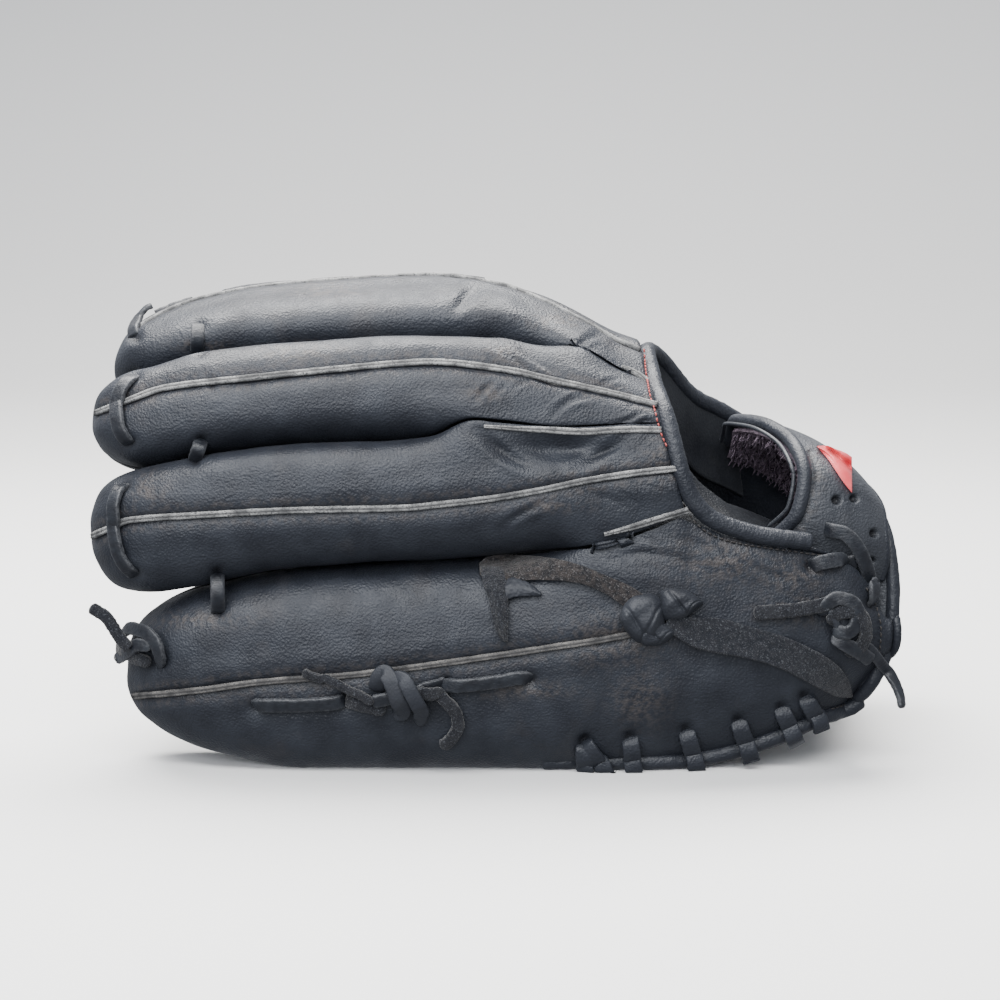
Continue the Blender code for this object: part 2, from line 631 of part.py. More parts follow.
def gap_welt(name, k, start, end):
    """The grey welt where two panels meet."""
    path, normals = [], []
    for i in range(9):
        x = station(mix(start, end, i / 8))
        point, wall = edge(k, x)
        path.append(point - wall * (back_depth(k, x) - GAP_WELT_LIFT))
        normals.append(wall)
    return add_object(name, ribbon(path, normals, WELT_WIDTH, WELT_THICKNESS), WELT_GREY)


def tube(name, path, radius, sides=6):
    """A round rolled edge along a path."""
    bm = bmesh.new()
    rings = []
    side = Vector((0.0, 0.0, 1.0))
    for i, point in enumerate(path):
        along = (path[min(i + 1, len(path) - 1)] - path[max(i - 1, 0)]).normalized()
        side = (side - along * side.dot(along)).normalized()
        up = along.cross(side)
        ring = []
        for j in range(sides):
            turn = 2.0 * math.pi * j / sides
            ring.append(bm.verts.new(point + (side * math.cos(turn) + up * math.sin(turn)) * radius))
        rings.append(ring)
    for ring, after in zip(rings, rings[1:]):
        for j in range(sides):
            k = (j + 1) % sides
            bm.faces.new((ring[j], ring[k], after[k], after[j]))
    bm.faces.new(reversed(rings[0]))
    bm.faces.new(rings[-1])
    bmesh.ops.recalc_face_normals(bm, faces=bm.faces)
    return add_object(name, bm, LACE_BLACK)


def rim_point(k, at):
    """The middle of the binding beside the opening, along edge k."""
    return rim(k, station(at))


def opening_binding():
    """The rolled binding round the hand opening, from the strap's near end to its far end."""
    path = [rim_point(1, mix(BINDING_NEAR_END, OPENING[0] + BINDING_TURN, i / 12)) for i in range(13)]
    for i in range(1, 20):
        c = 3.0 * i / 20
        panel, across = 1 + int(c), 2.0 * (c - int(c)) - 1.0
        x = station(opening_at(panel, across))
        path.append(face(panel, x, across, -0.5 * LEATHER)[0])
    path += [rim_point(INDEX + 1, mix(OPENING[-1] + BINDING_TURN, BINDING_FAR_END, i / 12)) for i in range(13)]
    for _ in range(2):
        inner = [(a + b * 2.0 + c) / 4.0 for a, b, c in zip(path, path[1:], path[2:])]
        path = [path[0]] + inner + [path[-1]]
    return tube("opening_binding", path, BINDING_RADIUS)


def heel_binding(panel):
    path = []
    for i in range(13):
        across = mix(HEEL_BINDING_SPAN[0], HEEL_BINDING_SPAN[1], i / 12)
        x = station(panel_end(panel, across))
        step = 0.05
        over = skin(panel, station(panel_end(panel, across + step)), across + step) - skin(panel, x, across)
        slant = over.length / math.hypot(over.y, over.z)
        path.append(face(panel, x + (HEEL_ROLL + CLEARANCE) * slant, across, -0.5 * LEATHER)[0])
    return tube("heel_binding_" + PANELS[panel], path, HEEL_ROLL)


def knot(name, panel, at, up, size):
    """A pulled knot: a lump with three lobes that sits on a panel."""
    x = station(at)
    across = across_at(panel, x, up * HEIGHT)
    middle, normal = face(panel, x, across, LIFT + 0.5 * size[2])
    along = Vector((1.0, 0.0, 0.0))
    side = normal.cross(along).normalized()
    along = side.cross(normal)
    bm = bmesh.new()
    bmesh.ops.create_icosphere(bm, subdivisions=2, radius=0.5)
    for vert in bm.verts:
        lobe = 1.0 - 0.13 * (1.0 - math.cos(3.0 * math.atan2(vert.co.y, vert.co.x)))
        a, b, c = vert.co.x * lobe, vert.co.y * lobe, vert.co.z
        vert.co = middle + along * a * size[0] + side * b * size[1] + normal * c * size[2]
    bmesh.ops.recalc_face_normals(bm, faces=bm.faces)
    return add_object(name, bm, LACE_BLACK)


def across_lace(name, panel, start, end):
    """A lace that lies across a finger, from one pair of at and across to another."""
    path, normals = [], []
    for i in range(7):
        at, across = mix(start[0], end[0], i / 6), mix(start[1], end[1], i / 6)
        at -= FINGER_LACE_BOW * math.sin(math.pi * i / 6)
        point, normal = face(panel, station(at), across, LIFT + 0.5 * LACE_THICKNESS)
        path.append(point)
        normals.append(normal)
    return add_object(name, ribbon(path, normals, LACE_WIDTH, LACE_THICKNESS), LACE_BLACK)


def link_lace(panel, at):
    """A short lace that ties a finger to the next one over the valley between them."""
    x = station(at)
    start = face(panel, x, LINK_REACH, 0.5 * LACE_THICKNESS)[0]
    end = face(panel + 1, x, -LINK_REACH, 0.5 * LACE_THICKNESS)[0]
    wall = edge(panel + 1, x)[1]
    path = [start.lerp(end, i / 4) for i in range(5)]
    bm = ribbon(path, [wall] * 5, LACE_WIDTH, LACE_THICKNESS)
    return add_object("link_lace_" + PANELS[panel], bm, LACE_BLACK)


def strand(name, points):
    """A lace that hangs free, flat to the little finger's side."""
    total = len(points) - 1
    rows = [(i / total, *point) for i, point in enumerate(points)]
    count = 4 * total
    path = []
    for i in range(count + 1):
        at, across, up = curve(rows, i / count)
        path.append(Vector((station(at), crossways(across), up * HEIGHT)))
    bm = ribbon(path, [Vector((0.0, -1.0, 0.0))] * len(path), LACE_WIDTH, LACE_THICKNESS)
    return add_object(name, bm, LACE_BLACK)


def web_lace(name, t):
    path, normals = [], []
    for i in range(13):
        x = station(mix(WEB_LACE_START, WEB_LACE_END, i / 12))
        point = web_point(x, t, LIFT + 0.5 * LACE_THICKNESS)
        over = web_point(x, t + 0.03) - web_point(x, t - 0.03)
        along = web_point(x + 0.002, t) - web_point(x - 0.002, t)
        path.append(point)
        normals.append(along.cross(over).normalized())
    return add_object(name, ribbon(path, normals, LACE_WIDTH, LACE_THICKNESS), LACE_BLACK)


def strap_badge():
    """A plain raised wedge on the strap, in place of a badge."""
    rows = [[strap_point(t, w, CLEARANCE + BADGE_THICKNESS) for t in BADGE_SPAN] for w in BADGE_WIDTH]
    return add_object("strap_badge", sheet(rows, BADGE_THICKNESS), BADGE_RED)


def main():
    clear_scene()
    for panel in range(len(PANELS)):
        back_panel(panel)
    palm()
    web()
    strap_sheet("wrist_strap", 0.0, STRAP_LEATHER, 0.0, BLACK_LEATHER)
    strap_sheet("strap_lining", STRAP_LEATHER + 2.0 * CLEARANCE, FLEECE, 0.03, FLEECE_PURPLE)
    strap_badge()
    opening_binding()
    heel_binding(LITTLE)
    heel_binding(THUMB)
    for panel, places in FINGER_WELTS:
        finger_welt(panel, places)
    for name, k, start, end in GAP_WELTS:
        gap_welt(name, k, start, end)
    for panel, start, end in TIP_LACES:
        across_lace("tip_lace_" + PANELS[panel], panel, start, end)
    for panel, at in LINK_LACES:
        link_lace(panel, at)
    for side, t in (("index", 0.15), ("thumb", 0.85)):
        web_lace("web_lace_" + side, t)
    for name, panel, places, width, sag in LACES:
        lace(name, panel, places, width, sag)
    for name, panel, at, up, size in KNOTS:
        knot(name, panel, at, up, size)
    strand("tip_tail", TIP_TAIL)
    for side, panel, places in (("little", LITTLE, HEEL_LACES), ("thumb", THUMB, HEEL_LACES[1:])):
        for i, at in enumerate(places):
            lace("heel_lace_%s_%d" % (side, i + 1), panel, heel_lace_places(panel, at))


def heel_lace_places(panel, at):
    """A heel lace runs from a hole in the panel down to its lower edge."""
    low = edge(0 if panel == LITTLE else THUMB_SIDE, station(at))[0].z / HEIGHT
    return [Place(at, low + 0.085, 0.0), Place(at + 0.004, low + 0.05, 0.0), Place(at + 0.008, low + 0.018, 0.0)]


main()
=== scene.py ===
"""The looks of the softball glove: leather, welts, laces, knots, stitches and fleece on the CAD's own curves.

Metres, in the CAD's frame. Places on the side that the camera sees are given as they stand in the picture, in
thousandths of its width, right and down. Each is carried along the camera's line of sight onto the leather.
"""

import math
import random
from collections import namedtuple
from functools import lru_cache

import bmesh
import bpy
import numpy as np
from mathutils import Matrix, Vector, noise
from mathutils.bvhtree import BVHTree


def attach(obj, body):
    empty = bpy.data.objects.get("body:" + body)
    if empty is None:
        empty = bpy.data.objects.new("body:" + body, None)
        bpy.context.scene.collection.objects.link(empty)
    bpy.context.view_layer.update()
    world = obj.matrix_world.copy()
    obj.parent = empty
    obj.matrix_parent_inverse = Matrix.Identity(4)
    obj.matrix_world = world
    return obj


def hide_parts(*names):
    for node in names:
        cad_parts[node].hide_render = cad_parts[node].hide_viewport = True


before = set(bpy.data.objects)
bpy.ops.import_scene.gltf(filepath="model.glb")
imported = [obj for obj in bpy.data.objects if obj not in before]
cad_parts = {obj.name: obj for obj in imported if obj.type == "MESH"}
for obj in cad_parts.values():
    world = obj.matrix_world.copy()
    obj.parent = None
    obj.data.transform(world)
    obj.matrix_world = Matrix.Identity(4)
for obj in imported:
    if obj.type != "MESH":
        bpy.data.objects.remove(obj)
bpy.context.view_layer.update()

# The camera, at the photograph's angle
TARGET = Vector((0.0011, -0.0241, 0.1051))
DISTANCE = 0.90
ELEVATION = math.radians(9.0)
LENS = 88.1
SENSOR = 36.0
PICTURE = 1000.0
ZOOM = LENS / SENSOR * PICTURE
RIGHT = Vector((1.0, 0.0, 0.0))
FORWARD = Vector((0.0, math.cos(ELEVATION), -math.sin(ELEVATION)))
UP = Vector((0.0, math.sin(ELEVATION), math.cos(ELEVATION)))
EYE = TARGET - FORWARD * DISTANCE
MM = 0.001
# The depth at which a lace hangs free beside the little finger's tip
FREE_DEPTH = -0.0150
# Nothing of the glove goes lower than this
FLOOR = 0.0002

# The CAD's own sizes and curves
LENGTH = 0.305
DEPTH = 0.140
HEIGHT = 0.184
REST_ACROSS = -0.328
LEATHER = 0.0025
PALM_LEATHER = 0.0045
WEB_LEATHER = 0.0045
STRAP_LEATHER = 0.0030
STALL_DEPTH = 0.029
SEAM_DEPTH = 0.004
HAND_DEPTH = 0.048
SIDE_HAND_DEPTH = 0.034
HEEL_DEPTH = 0.016
RAMP = 0.040
SEAM_GAP = 0.0004
CLEARANCE = 0.0004
PALM_GAP = 0.0009
BINDING_RADIUS = 0.0028
BINDING_SEAT = 0.0008
GAP_RAMP = 0.006
HEEL_ROLL = 0.0016
THUMB_MOUND = 0.014
LITTLE_MOUND = 0.003
WEB_BULGE = 0.015
WEB_TUCK = 0.0006
STRAP_BULGE = 0.004
# How far away the points lie that give the direction of a surface: in metres along, and as a share across
REACH = 0.002
NEARBY = 0.04

LITTLE, RING, MIDDLE, INDEX, THUMB = range(5)
PANELS = ("little", "ring", "middle", "index", "thumb")
LOW_EDGE = (0, 1, 2, 3, 5)
MOUNDS = (LITTLE_MOUND, 0.0, 0.0, 0.0, THUMB_MOUND)
THUMB_TOP, THUMB_SIDE = 5, 6

# Rows of an edge: shares of LENGTH along, of DEPTH across and of HEIGHT up, and the wall's lean in degrees
LITTLE_EDGE = (
    (0.044, -0.443, 0.040, 0), (0.169, -0.479, 0.008, 0), (0.254, -0.493, -0.016, 0),
    (0.500, -0.500, -0.018, 0), (0.697, -0.486, -0.018, 0), (0.752, -0.471, -0.006, 0),
    (0.828, -0.450, 0.020, 2), (0.897, -0.421, 0.072, 8), (0.943, -0.393, 0.130, 12),
    (0.985, -0.357, 0.196, 16))
LITTLE_TO_RING = (
    (0.025, -0.457, 0.340, 0), (0.133, -0.500, 0.372, 0), (0.254, -0.514, 0.412, 0),
    (0.418, -0.518, 0.429, 0), (0.500, -0.521, 0.435, 0), (0.579, -0.521, 0.465, 3),
    (0.641, -0.514, 0.486, 6), (0.690, -0.511, 0.516, 8), (0.736, -0.500, 0.543, 10),
    (0.782, -0.493, 0.516, 10), (0.828, -0.486, 0.495, 10), (0.877, -0.468, 0.484, 12),
    (0.926, -0.436, 0.459, 14), (0.962, -0.400, 0.418, 16), (0.985, -0.371, 0.359, 18))
RING_TO_MIDDLE = (
    (-0.002, -0.443, 0.648, 14), (0.044, -0.464, 0.650, 16), (0.133, -0.493, 0.679, 18),
    (0.254, -0.507, 0.707, 18), (0.418, -0.507, 0.717, 18), (0.467, -0.500, 0.739, 18),
    (0.503, -0.496, 0.734, 18), (0.579, -0.486, 0.723, 18), (0.654, -0.471, 0.726, 18),
    (0.710, -0.457, 0.728, 18), (0.762, -0.450, 0.640, 18), (0.828, -0.443, 0.565, 18),
    (0.910, -0.407, 0.500, 20), (0.985, -0.357, 0.410, 22))
MIDDLE_TO_INDEX = (
    (-0.002, -0.286, 0.870, 42), (0.057, -0.300, 0.870, 44), (0.133, -0.314, 0.902, 46),
    (0.205, -0.321, 0.918, 47), (0.316, -0.321, 0.929, 47), (0.418, -0.321, 0.938, 47),
    (0.503, -0.314, 0.935, 47), (0.552, -0.307, 0.910, 47), (0.602, -0.300, 0.883, 46),
    (0.648, -0.293, 0.837, 46), (0.700, -0.286, 0.793, 45), (0.762, -0.271, 0.717, 46),
    (0.828, -0.257, 0.685, 48), (0.910, -0.229, 0.620, 50), (0.985, -0.200, 0.478, 50))
INDEX_EDGE = (
    (0.025, 0.043, 0.935, 74), (0.057, 0.057, 0.946, 76), (0.133, 0.079, 0.978, 78),
    (0.205, 0.086, 1.000, 79), (0.316, 0.093, 1.016, 80), (0.418, 0.093, 1.024, 80),
    (0.503, 0.086, 1.000, 80), (0.552, 0.079, 0.973, 80), (0.602, 0.064, 0.929, 80),
    (0.648, 0.043, 0.892, 80), (0.690, 0.014, 0.868, 82), (0.726, 0.086, 0.808, 95),
    (0.752, 0.157, 0.748, 110), (0.802, 0.243, 0.700, 125), (0.844, 0.286, 0.650, 132),
    (0.893, 0.329, 0.576, 142), (0.943, 0.357, 0.500, 150), (0.992, 0.357, 0.391, 160))
THUMB_UPPER_EDGE = (
    (0.146, 0.414, 0.457, 168), (0.254, 0.443, 0.500, 168), (0.352, 0.443, 0.533, 163),
    (0.434, 0.393, 0.609, 152), (0.500, 0.300, 0.739, 136), (0.549, 0.193, 0.864, 114),
    (0.598, 0.066, 0.931, 80))
THUMB_EDGE = (
    (0.146, 0.429, 0.076, 180), (0.254, 0.457, 0.018, 180), (0.352, 0.471, -0.014, 180),
    (0.500, 0.479, -0.018, 180), (0.697, 0.471, -0.018, 180), (0.762, 0.457, -0.003, 180),
    (0.828, 0.443, 0.027, 178), (0.897, 0.414, 0.079, 172), (0.943, 0.393, 0.130, 168),
    (0.992, 0.357, 0.201, 164))
EDGES = (LITTLE_EDGE, LITTLE_TO_RING, RING_TO_MIDDLE, MIDDLE_TO_INDEX, INDEX_EDGE, THUMB_UPPER_EDGE,
         THUMB_EDGE)
# Past this share of LENGTH the thumb's panel and the index finger's share one edge
JOIN = 0.598
# The web's two ends, and how deep beside the fingers it sits
WEB_START = 0.175
WEB_END = 0.545
WEB_SEAT = 0.45

# Where each finger ends, how long its round end is and how square, and where its walls fade into the hand
TIP_SQUARE = 2.6
Tip = namedtuple("Tip", "at round")
TIPS = (Tip(0.034, 0.150), Tip(-0.007, 0.105), Tip(-0.005, 0.105), Tip(0.011, 0.105), Tip(0.146, 0.110))
FORKS = (0.50, 0.50, 0.355, 0.485, 0.47, 0.47, 0.50)

# The opening of the back, from the edge between little and ring finger to the index finger's far edge
OPENING = (0.739, 0.709, 0.697, 0.689)
BINDING_NEAR_END = 0.885
BINDING_FAR_END = 0.835
BINDING_TURN = 0.014
HEEL_END = (0.990, 0.0, 0.0, 0.0, 0.998)
# How much of the heel's width its binding covers
HEEL_BINDING_SPAN = (-0.72, 0.60)
PALM_END = 0.975
HEEL_ROUND = 0.045

# The wrist strap's two rims, from inside the little finger's panel over the top to inside the thumb's
STRAP_FRONT = ((0.838, -0.350, 0.462), (0.871, -0.385, 0.532), (0.881, -0.357, 0.614),
               (0.870, -0.236, 0.668), (0.841, -0.071, 0.690), (0.815, 0.100, 0.679),
               (0.808, 0.207, 0.609))
STRAP_REAR = ((0.974, -0.310, 0.350), (0.985, -0.320, 0.435), (0.983, -0.271, 0.522),
              (0.966, -0.157, 0.567), (0.945, 0.000, 0.573), (0.926, 0.157, 0.549),
              (0.930, 0.270, 0.467))


def mix(a, b, t):
    return a + (b - a) * t


def ramp(t):
    t = min(1.0, max(0.0, t))
    return t * t * (3.0 - 2.0 * t)


def station(at):
    return (at - 0.5) * LENGTH


def crossways(across):
    return (across - REST_ACROSS) * DEPTH


def curve(rows, position):
    """All columns after the first, on a smooth curve through the rows at a value of the first column."""
    last = len(rows) - 1
    position = min(rows[last][0], max(rows[0][0], position))
    i = 0
    while i < last - 1 and position > rows[i + 1][0]:
        i += 1
    width = rows[i + 1][0] - rows[i][0]
    t = (position - rows[i][0]) / width
    t2, t3 = t * t, t * t * t
    values = []
    for column in range(1, len(rows[0])):
        start, end = slope_at(rows, i, column), slope_at(rows, i + 1, column)
        a, b = rows[i][column], rows[i + 1][column]
        values.append((2 * t3 - 3 * t2 + 1) * a + (t3 - 2 * t2 + t) * width * start
                      + (3 * t2 - 2 * t3) * b + (t3 - t2) * width * end)
    return values


def slope_at(rows, j, column):
    last = len(rows) - 1
    if j in (0, last):
        a, b = (0, 1) if j == 0 else (last - 1, last)
        return (rows[b][column] - rows[a][column]) / (rows[b][0] - rows[a][0])
    before = (rows[j][column] - rows[j - 1][column]) / (rows[j][0] - rows[j - 1][0])
    after = (rows[j + 1][column] - rows[j][column]) / (rows[j + 1][0] - rows[j][0])
    if before * after <= 0.0:
        return 0.0
    return 2.0 * before * after / (before + after)


@lru_cache(maxsize=None)
def edge(k, x):
    """The outer line of edge k in the section at x, and the direction of the wall below it."""
    at = x / LENGTH + 0.5
    rows = INDEX_EDGE if k == THUMB_TOP and at >= JOIN else EDGES[k]
    across, up, lean = curve(rows, at)
    lean = math.radians(lean)
    return Vector((x, crossways(across), up * HEIGHT)), Vector((0.0, -math.cos(lean), math.sin(lean)))


def hand_share(k, x):
    """How far edge k has faded into the hand: 0 in the fingers, 1 past its fork."""
    return ramp((x - station(FORKS[k])) / RAMP)


def back_depth(k, x):
    """How far the back's leather reaches down from edge k."""
    outside = k in (0, THUMB_SIDE)
    return mix(STALL_DEPTH, HEEL_DEPTH if outside else SEAM_DEPTH, hand_share(k, x))


def palm_depth(k, x):
    """How far below edge k the palm lies."""
    if k in (0, THUMB_SIDE):
        return back_depth(k, x) + PALM_GAP
    return mix(STALL_DEPTH + PALM_GAP, SIDE_HAND_DEPTH if k == 1 else HAND_DEPTH, hand_share(k, x))


def taper(panel, x):
    """How wide and deep a fingertip is there, as a share of the full finger."""
    tip = TIPS[panel]
    t = min(1.0, max(0.0, (x - station(tip.at)) / (tip.round * LENGTH)))
    return (1.0 - (1.0 - t) ** TIP_SQUARE) ** (1.0 / TIP_SQUARE)


def rim(k, x):
    """The lower rim of the back's leather along edge k."""
    point, wall = edge(k, x)
    return point - wall * back_depth(k, x)


@lru_cache(maxsize=None)
def rim_gap(panel, k, x):
    """The space a panel keeps to the middle of the seam or the binding beside it."""
    start = {(LITTLE, 1): OPENING[0], (THUMB, THUMB_TOP): OPENING[-1]}.get((panel, k))
    if start is None:
        return SEAM_GAP
    slant = (rim(k, x + REACH) - rim(k, x - REACH)).length / (2.0 * REACH)
    return mix(SEAM_GAP, (BINDING_RADIUS + BINDING_SEAT) * slant, ramp((x - station(start)) / GAP_RAMP + 1.0))


def profile(panel, x, across):
    """The height of a panel's section, from 0 at its edges to 1: square in a finger and rounder in the hand."""
    low = LOW_EDGE[panel]
    hand = 0.5 * (hand_share(low, x) + hand_share(low + 1, x))
    return max(0.0, 1.0 - abs(across) ** mix(2.9, 2.2, hand)) ** (1.0 / mix(2.9, 1.3, hand))


def skin(panel, x, across):
    """A point of a panel's outer face."""
    low = LOW_EDGE[panel]
    width = taper(panel, x)
    outer, inner = [], []
    for k in (low, low + 1):
        point, wall = edge(k, x)
        outer.append(point)
        inner.append(point - wall * back_depth(k, x))
    span = (inner[1] - inner[0]).length
    gaps = [rim_gap(panel, k, x) / span for k in (low, low + 1)]
    a = mix(gaps[0], 1.0 - gaps[1], 0.5 + 0.5 * across * width)
    base, top = inner[0].lerp(inner[1], a), outer[0].lerp(outer[1], a)
    wall = top - base
    mound = MOUNDS[panel] * 0.5 * (hand_share(low, x) + hand_share(low + 1, x)) * (1.0 - across * across)
    return base + wall * (profile(panel, x, across) * width) + wall.normalized() * mound


def face(panel, x, across, lift=0.0):
    """A point above a panel and the panel's own direction outward there."""
    along = skin(panel, x + REACH, across) - skin(panel, x - REACH, across)
    over = skin(panel, x, across + NEARBY) - skin(panel, x, across - NEARBY)
    normal = along.cross(over).normalized()
    return skin(panel, x, across) + normal * lift, normal


def spread(count):
    """Places across a panel from -1 to 1, closer together at its edges."""
    return [math.sin(math.pi * (j / count - 0.5)) for j in range(count + 1)]


def opening_at(panel, across):
    """Where the hand opening cuts a panel, as a share of LENGTH."""
    return curve([(i, at) for i, at in enumerate(OPENING)], panel - 1 + 0.5 * (across + 1.0))[0]


def panel_end(panel, across):
    """Where a panel ends: at the heel, or beside the opening's binding."""
    if panel in (LITTLE, THUMB):
        return HEEL_END[panel] - HEEL_ROUND * abs(across) ** 4
    return opening_at(panel, across) - (BINDING_RADIUS + CLEARANCE) / LENGTH


# The picture: where a point stands in it, and what lies behind a place of it

def in_picture(points):
    """Where points stand in the picture, right and down."""
    away = points - np.array(EYE)
    depth = away @ np.array(FORWARD)
    half = PICTURE / 2.0
    return np.stack([half + ZOOM * (away @ np.array(RIGHT)) / depth,
                     half - ZOOM * (away @ np.array(UP)) / depth], axis=1)


def sight(px, py):
    """The camera's line of sight through a place of the picture."""
    half = PICTURE / 2.0
    return (FORWARD + RIGHT * ((px - half) / ZOOM) + UP * ((half - py) / ZOOM)).normalized()


def at_depth(px, py, depth):
    """The point seen at a place of the picture, at a depth across the glove."""
    way = sight(px, py)
    return EYE + way * ((depth - EYE.y) / way.y)


def hit(trees, start, way):
    """The nearest hit on any of the surfaces: its distance and the direction outward there."""
    best = None
    for tree in trees:
        point, normal, _, distance = tree.ray_cast(start, way)
        if point is not None and (best is None or distance < best[0]):
            best = (distance, -normal if normal.dot(way) > 0.0 else normal)
    return best


def spline(rows, count):
    """Evenly many places on a smooth curve through rows of numbers, spaced by their first two."""
    run = [0.0]
    for a, b in zip(rows, rows[1:]):
        run.append(run[-1] + max(1e-6, math.dist(a[:3], b[:3])))
    table = [(at / run[-1],) + tuple(row) for at, row in zip(run, rows)]
    return [curve(table, i / count) for i in range(count + 1)]


def smoothed(values, times):
    """A list of numbers or vectors, each one averaged with its neighbours."""
    for _ in range(times):
        middle = [(a + b * 2.0 + c) * 0.25 for a, b, c in zip(values, values[1:], values[2:])]
        values = [values[0]] + middle + [values[-1]]
    return values


def fill_gaps(hits):
    """Gives each missing hit the nearest one there is, or one at the free lace's own depth."""
    known = [i for i, value in enumerate(hits) if value is not None]
    if not known:
        return [((FREE_DEPTH - EYE.y) / FORWARD.y, -FORWARD)] * len(hits)
    return [hits[min(known, key=lambda j: abs(j - i))] for i in range(len(hits))]


def trail(places, trees, count, taut=0):
    """Points and directions outward along a curve through places of the picture, (right, down, mm held off)."""
    rows = spline(places, count)
    ways = [sight(px, py) for px, py, _ in rows]
    hits = fill_gaps([hit(trees, EYE, way) for way in ways])
    depths = [distance for distance, _ in hits]
    for _ in range(taut):
        depths = [min(a, b) for a, b in zip(depths, smoothed(depths, 1))]
    depths = smoothed(depths, 2)
    normals = [normal.normalized() for normal in smoothed([normal for _, normal in hits], 6)]
    points = [EYE + way * depth + normal * (row[2] * MM)
              for way, depth, normal, row in zip(ways, depths, normals, rows)]
    return points, normals


def line_distance(points, line):
    """How far each point is from a line of points, in two or three dimensions."""
    best = np.full(len(points), 1e9)
    for a, b in zip(line, line[1:]):
        a, b = np.array(a), np.array(b)
        run = b - a
        t = np.clip(((points - a) @ run) / max(1e-12, run @ run), 0.0, 1.0)
        best = np.minimum(best, np.linalg.norm(points - a - t[:, None] * run, axis=1))
    return best


def roughness_of(points, size, detail=2):
    """Smooth random heights from -1 to 1 at points, with hills of about a size in metres."""
    return np.array([noise.fractal(Vector(p) / size, 1.0, 2.0, detail) for p in points])


# Meshes

def add_piece(name, mesh, paint, nodes=()):
    """Puts a mesh in the scene, in place of the CAD nodes it stands for."""
    piece = bpy.data.objects.new(name, mesh)
    bpy.context.scene.collection.objects.link(piece)
    mesh.materials.append(paint)
    mesh.shade_smooth()
    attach(piece, "root")
    if nodes:
        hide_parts(*nodes)
    return piece


def add_grid(bm, rows):
    grid = [[bm.verts.new(point) for point in row] for row in rows]
    for row, after in zip(grid, grid[1:]):
        for j in range(len(row) - 1):
            bm.faces.new((row[j], after[j], after[j + 1], row[j + 1]))


def grid_bmesh(rows):
    """A sheet on a grid of points."""
    bm = bmesh.new()
    add_grid(bm, rows)
    return bm


def weld(bm, distance):
    """Points in the same place become one."""
    bmesh.ops.remove_doubles(bm, verts=bm.verts, dist=distance)
    bmesh.ops.dissolve_degenerate(bm, edges=bm.edges, dist=1e-7)


def tube(bm, rings):
    """The wall through rings of points, and its two flat ends."""
    for ring, after in zip(rings, rings[1:]):
        for j in range(len(ring)):
            k = (j + 1) % len(ring)
            bm.faces.new((ring[j], ring[k], after[k], after[j]))
    bm.faces.new(reversed(rings[0]))
    bm.faces.new(rings[-1])


def to_mesh(bm, name):
    """Turns a bmesh into a mesh that stands on the floor, and frees it."""
    for vert in bm.verts:
        vert.co.z = max(FLOOR, vert.co.z)
    mesh = bpy.data.meshes.new(name)
    bm.to_mesh(mesh)
    bm.free()
    return mesh


def arrays(bm):
    bm.normal_update()
    return np.array([v.co for v in bm.verts]), np.array([v.normal for v in bm.verts])


def push(bm, normals, heights):
    """Moves each point along its normal, but not below the floor."""
    for vert, normal, height in zip(bm.verts, normals, heights):
        vert.co += Vector(normal) * float(height)
        vert.co.z = max(FLOOR, vert.co.z)


def write_layer(bm, name, values):
    layer = bm.verts.layers.float.get(name) or bm.verts.layers.float.new(name)
    for vert, value in zip(bm.verts, values):
        vert[layer] = float(value)


def solidify(piece, thickness):
    made = piece.modifiers.new("wall", "SOLIDIFY")
    made.thickness = thickness
    made.offset = -1.0
    made.use_rim = True
    made.use_even_offset = False


BAND_SIDES = 20


def band(name, points, normals, width, thickness, paint, nodes=(), square=3.2, rough=0.0,
         taper_ends=(False, False), notch=0.0, seed=0.0):
    """A closed flat leather band with rounded corners that follows a path. Widths may change along it."""
    count = len(points)
    widths = width if isinstance(width, list) else [width] * count
    bm = bmesh.new()
    edge_layer = bm.verts.layers.float.new("edge")
    rings = []
    for i, point in enumerate(points):
        along = (points[min(i + 1, count - 1)] - points[max(i - 1, 0)]).normalized()
        side = along.cross(normals[i]).normalized()
        up = side.cross(along)
        shrink = 1.0
        for end, near in ((0, i), (1, count - 1 - i)):
            if taper_ends[end]:
                shrink *= math.sqrt(min(1.0, (near + 0.35) / 3.0))
        ring = []
        for j in range(BAND_SIDES):
            turn = 2.0 * math.pi * j / BAND_SIDES
            c, s = math.cos(turn), math.sin(turn)
            a = math.copysign(abs(c) ** (2.0 / square), c) * 0.5
            b = math.copysign(abs(s) ** (2.0 / square), s) * 0.5
            if notch and s > 0.0:
                b -= notch * math.exp(-(a / 0.13) ** 2)
            wobble = 1.0 + rough * noise.noise(Vector((i * 0.31, j * 0.9, seed)))
            vert = bm.verts.new(point + side * (a * widths[i] * shrink * wobble)
                                + up * (b * thickness * wobble * (0.4 + 0.6 * shrink)))
            vert[edge_layer] = min(1.0, abs(2.0 * a) ** 5) if not notch else math.exp(-(a / 0.13) ** 2)
            ring.append(vert)
        rings.append(ring)
    for ring, after in zip(rings, rings[1:]):
        for j in range(BAND_SIDES):
            k = (j + 1) % BAND_SIDES
            bm.faces.new((ring[j], after[j], after[k], ring[k]))
    for ring in (rings[0], rings[-1]):
        middle = bm.verts.new(sum((v.co for v in ring), Vector()) / BAND_SIDES)
        middle[edge_layer] = 0.8
        for j in range(BAND_SIDES):
            bm.faces.new((ring[j], ring[(j + 1) % BAND_SIDES], middle))
    bmesh.ops.recalc_face_normals(bm, faces=bm.faces)
    return add_piece(name, to_mesh(bm, name), paint, nodes)


